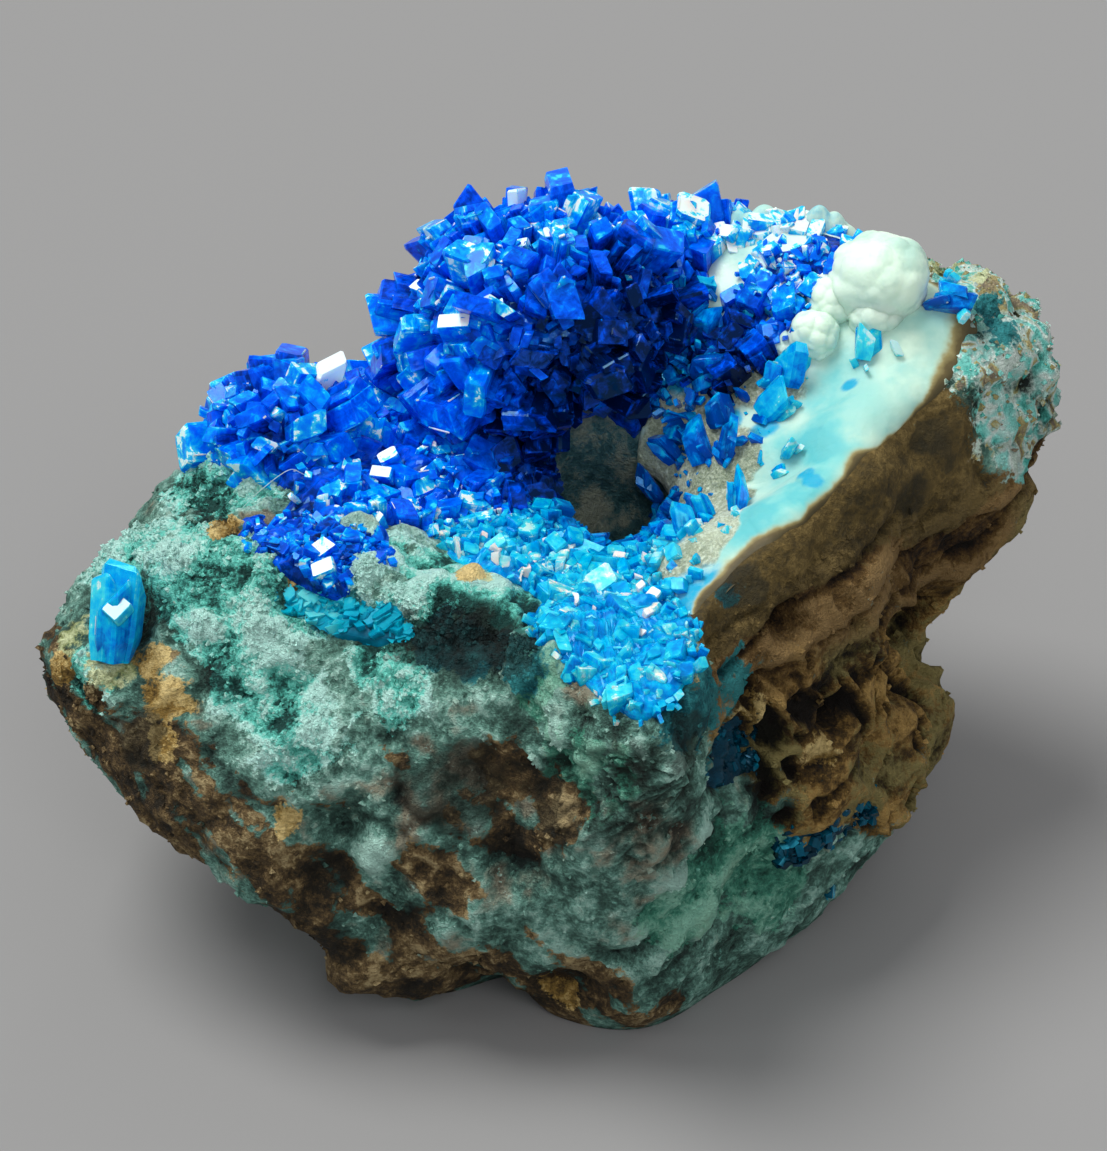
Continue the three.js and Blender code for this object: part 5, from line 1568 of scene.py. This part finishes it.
def knob_druse(deep, random):
    """The crystals round the large white ball, with fine needles that lean forwards."""
    blocks = druse_crystals(50, (26, 46), (7.3, 8.4), (0.5, 1.1), (0.4, 1.0), random, lift=0.6, copies=3,
                            pale=0.35)
    make_druse("knob_druse", "druse_knob", deep, "deep_blue_crystal",
               crust_part((24, 48), (7.0, 8.6), 0.7, 40, 30, seed=8), blocks, lit_edges(blocks, 80, random),
               druse_crystals(160, (25, 47), (7.4, 8.5), (0.10, 0.26), (0.4, 1.1), random, lean=(0, -0.6, 0),
                              lift=0.7, wild=0.6, pale=0.2))


def gully_druse(deep, random):
    """Dark crystals that run from the saddle down to the pool."""
    crystals = partial(druse_crystals, random=random)
    make_druse("gully_druse", None, deep, "deep_blue_crystal",
               crust_part((193, 219), (6.35, 7.35), 0.20, 60, 40, seed=19),
               crystals(80, (203, 216), (6.45, 7.1), (0.3, 0.8), (0.2, 0.5), copies=2, lift=0.05, pale=-0.3),
               crystals(50, (199, 213), (6.7, 7.2), (0.3, 0.8), (0.2, 0.5), copies=2, lift=0.05, pale=-0.5),
               crystals(200, (196, 217), (6.45, 7.2), (0.12, 0.4), (0.1, 0.4), lift=0.15, pale=0.1),
               glints(GULLY_GLINTS, random))


def pool_crystals(random):
    """Turquoise crystals in the pocket on the front left slope, over a crust that is light at its left end
    and dark at its right."""
    glassy = crystal_material("turquoise_pool", POOL_BLUES, clear=0.15, gloss=0.25, polish=0.30, glow=0.3,
                              cloud_size=1.8)
    crust = crust_part((205, 234), (5.80, 6.70), -0.60, 90, 50, seed=9, bump=0.09, low=-1.2, fray=0.25)
    crust["fields"]["tone"] = mix(1.0, 0.0, ease(*POOL_ENDS, crust["points"][:, 0]))
    make_druse("pool_crystals", "pool_druse", glassy, "turquoise_crystal", crust,
               druse_crystals(60, (205, 224), (6.35, 6.62), (0.2, 0.6), (0.05, 0.25), random, lift=-0.4,
                              copies=2),
               druse_crystals(110, (208, 231), (5.98, 6.5), (0.3, 0.9), (0.05, 0.25),
                              np.random.default_rng(POOL_SEED), lift=-0.62, copies=2, pale=-0.1))


def pocket_crystals(dusky, random):
    """Fine dark crystals in a pocket of the broken face."""
    make_druse("pocket_crystals", "pocket_druse", dusky, "deep_blue_crystal",
               crust_part((-80, -57), (4.42, 5.15), -0.55, 60, 50, seed=12, bump=0.2, bump_size=0.6,
                          low=-1.0, fray=0.6),
               druse_crystals(200, (-76, -60), (4.50, 5.05), (0.12, 0.4), (0.05, 0.25), random, lift=-0.65,
                              pale=-0.4))


def vein_crystals(dusky, random):
    """Fine dark crystals along a vein under the broken face."""
    make_druse("vein_crystals", "vein_druse", dusky, "deep_blue_crystal",
               crust_part((-61, -34), (3.76, 4.18), 0.1, 80, 40, seed=13, bump=0.2, bump_size=0.6, fray=0.6),
               druse_crystals(260, (-59, -36), (3.84, 4.08), (0.12, 0.45), (0.1, 0.35), random, lift=0.05,
                              pale=-0.1))


def slope_fringe(clear, random):
    """Fine crystals on the lining, with fans by the hole and small ones round the single crystals."""
    crystals = partial(druse_crystals, random=random)
    blocks = crystals(70, (28, 62), (7.7, 9.6), (0.3, 0.7), (0.3, 0.9), lift=0.55, copies=2, pale=0.3)
    make_druse("slope_fringe", None, clear, "clear_blue_crystal", blocks, lit_edges(blocks, 90, random),
               crystals(90, (-74, 30), (9.0, 9.7), (0.3, 0.7), (0.3, 0.8), lift=0.45, copies=2, pale=0.3),
               crystals(50, (-75, -44), (7.5, 9.2), (0.3, 0.7), (0.2, 0.5), lift=0.5, copies=2, pale=0.2),
               crystals(300, (-74, 61), (8.0, 9.6), (0.08, 0.20), (0.1, 0.25), lift=0.45, pale=1.0),
               *(fan(*place, random) for place in FANS),
               *(satellites(*row[:2], random) for row in SINGLE_CRYSTALS.values() if row[1] > ON_THE_LINING))


def single_crystal(name, azimuth, ring, lift, width, depth, length, tilt, random):
    """A crystal with a place of its own: a few grown together, whose broad sides look along the rock's
    normal, with painted highlight slivers on their edges."""
    foot, normal = one_place(azimuth, ring, lift)
    axis = unit(normal + np.array(tilt))
    wide, long = SLOPE_SIZES if name.startswith("slope") else (1.0, 1.0)
    sizes = [np.array([size]) for size in (width * wide, depth * wide, length * long)]
    grown = grown_together(foot, axis, *sizes, SINGLE_COPIES, random)
    facing = np.repeat(normal, SINGLE_COPIES, 0) + random.normal(0, 0.2, (SINGLE_COPIES, 3))
    tone = random.uniform(0.5, 1.3, SINGLE_COPIES) - SINGLE_DARK.get(name, 0.0)
    part = crystals_part(*grown, random, chamfer=(0.05, 0.4), slope=1.4, bevel=(0.72, 0.95), facing=facing,
                         tone=tone, single=True)
    part = joined(part, lit_edges(part, 4, random, (0.04, 0.07), 2.0))
    # A painted glint: a crystal whose end is painted white, across the left pocket's crystal.
    if name == "pocket_crystal_left":
        wedge = foot[0] + axis[0] * WEDGE_ALONG + WEDGE_SHIFT
        part = joined(part, glints(((wedge, *WEDGE_SIZE),), random))
    return part


def build():
    """Every piece of the specimen. All but the pool's lower crystals draw from one random generator, in
    this order."""
    random = np.random.default_rng(SEED)
    deep = crystal_material("deep_blue_crystal", DEEP_BLUES, clear=0.06, gloss=0.08)
    clear = crystal_material("clear_blue_crystal", CLEAR_BLUES, clear=0.22, gloss=0.12)
    dusky = crystal_material("dark_blue_vein", DUSKY_BLUES, clear=0.3, gloss=0.10, glow=0.1, cloud_size=0.9)
    rock_and_grains(random)
    white_pieces()
    for druse in (dome, left_cluster, rim_druse, saddle_druse):
        druse(deep, random)
    floor_druse(random)
    for druse in (back_druse, knob_druse, gully_druse):
        druse(deep, random)
    pool_crystals(random)
    pocket_crystals(dusky, random)
    vein_crystals(dusky, random)
    slope_fringe(clear, random)
    for name, row in SINGLE_CRYSTALS.items():
        finish = dusky if name == "pocket_crystal_right" else clear
        make_piece("clear_" + name, single_crystal(name, *row, random), finish, [name],
                   soft=False)


build()
add_floor()
add_lights()
add_camera()
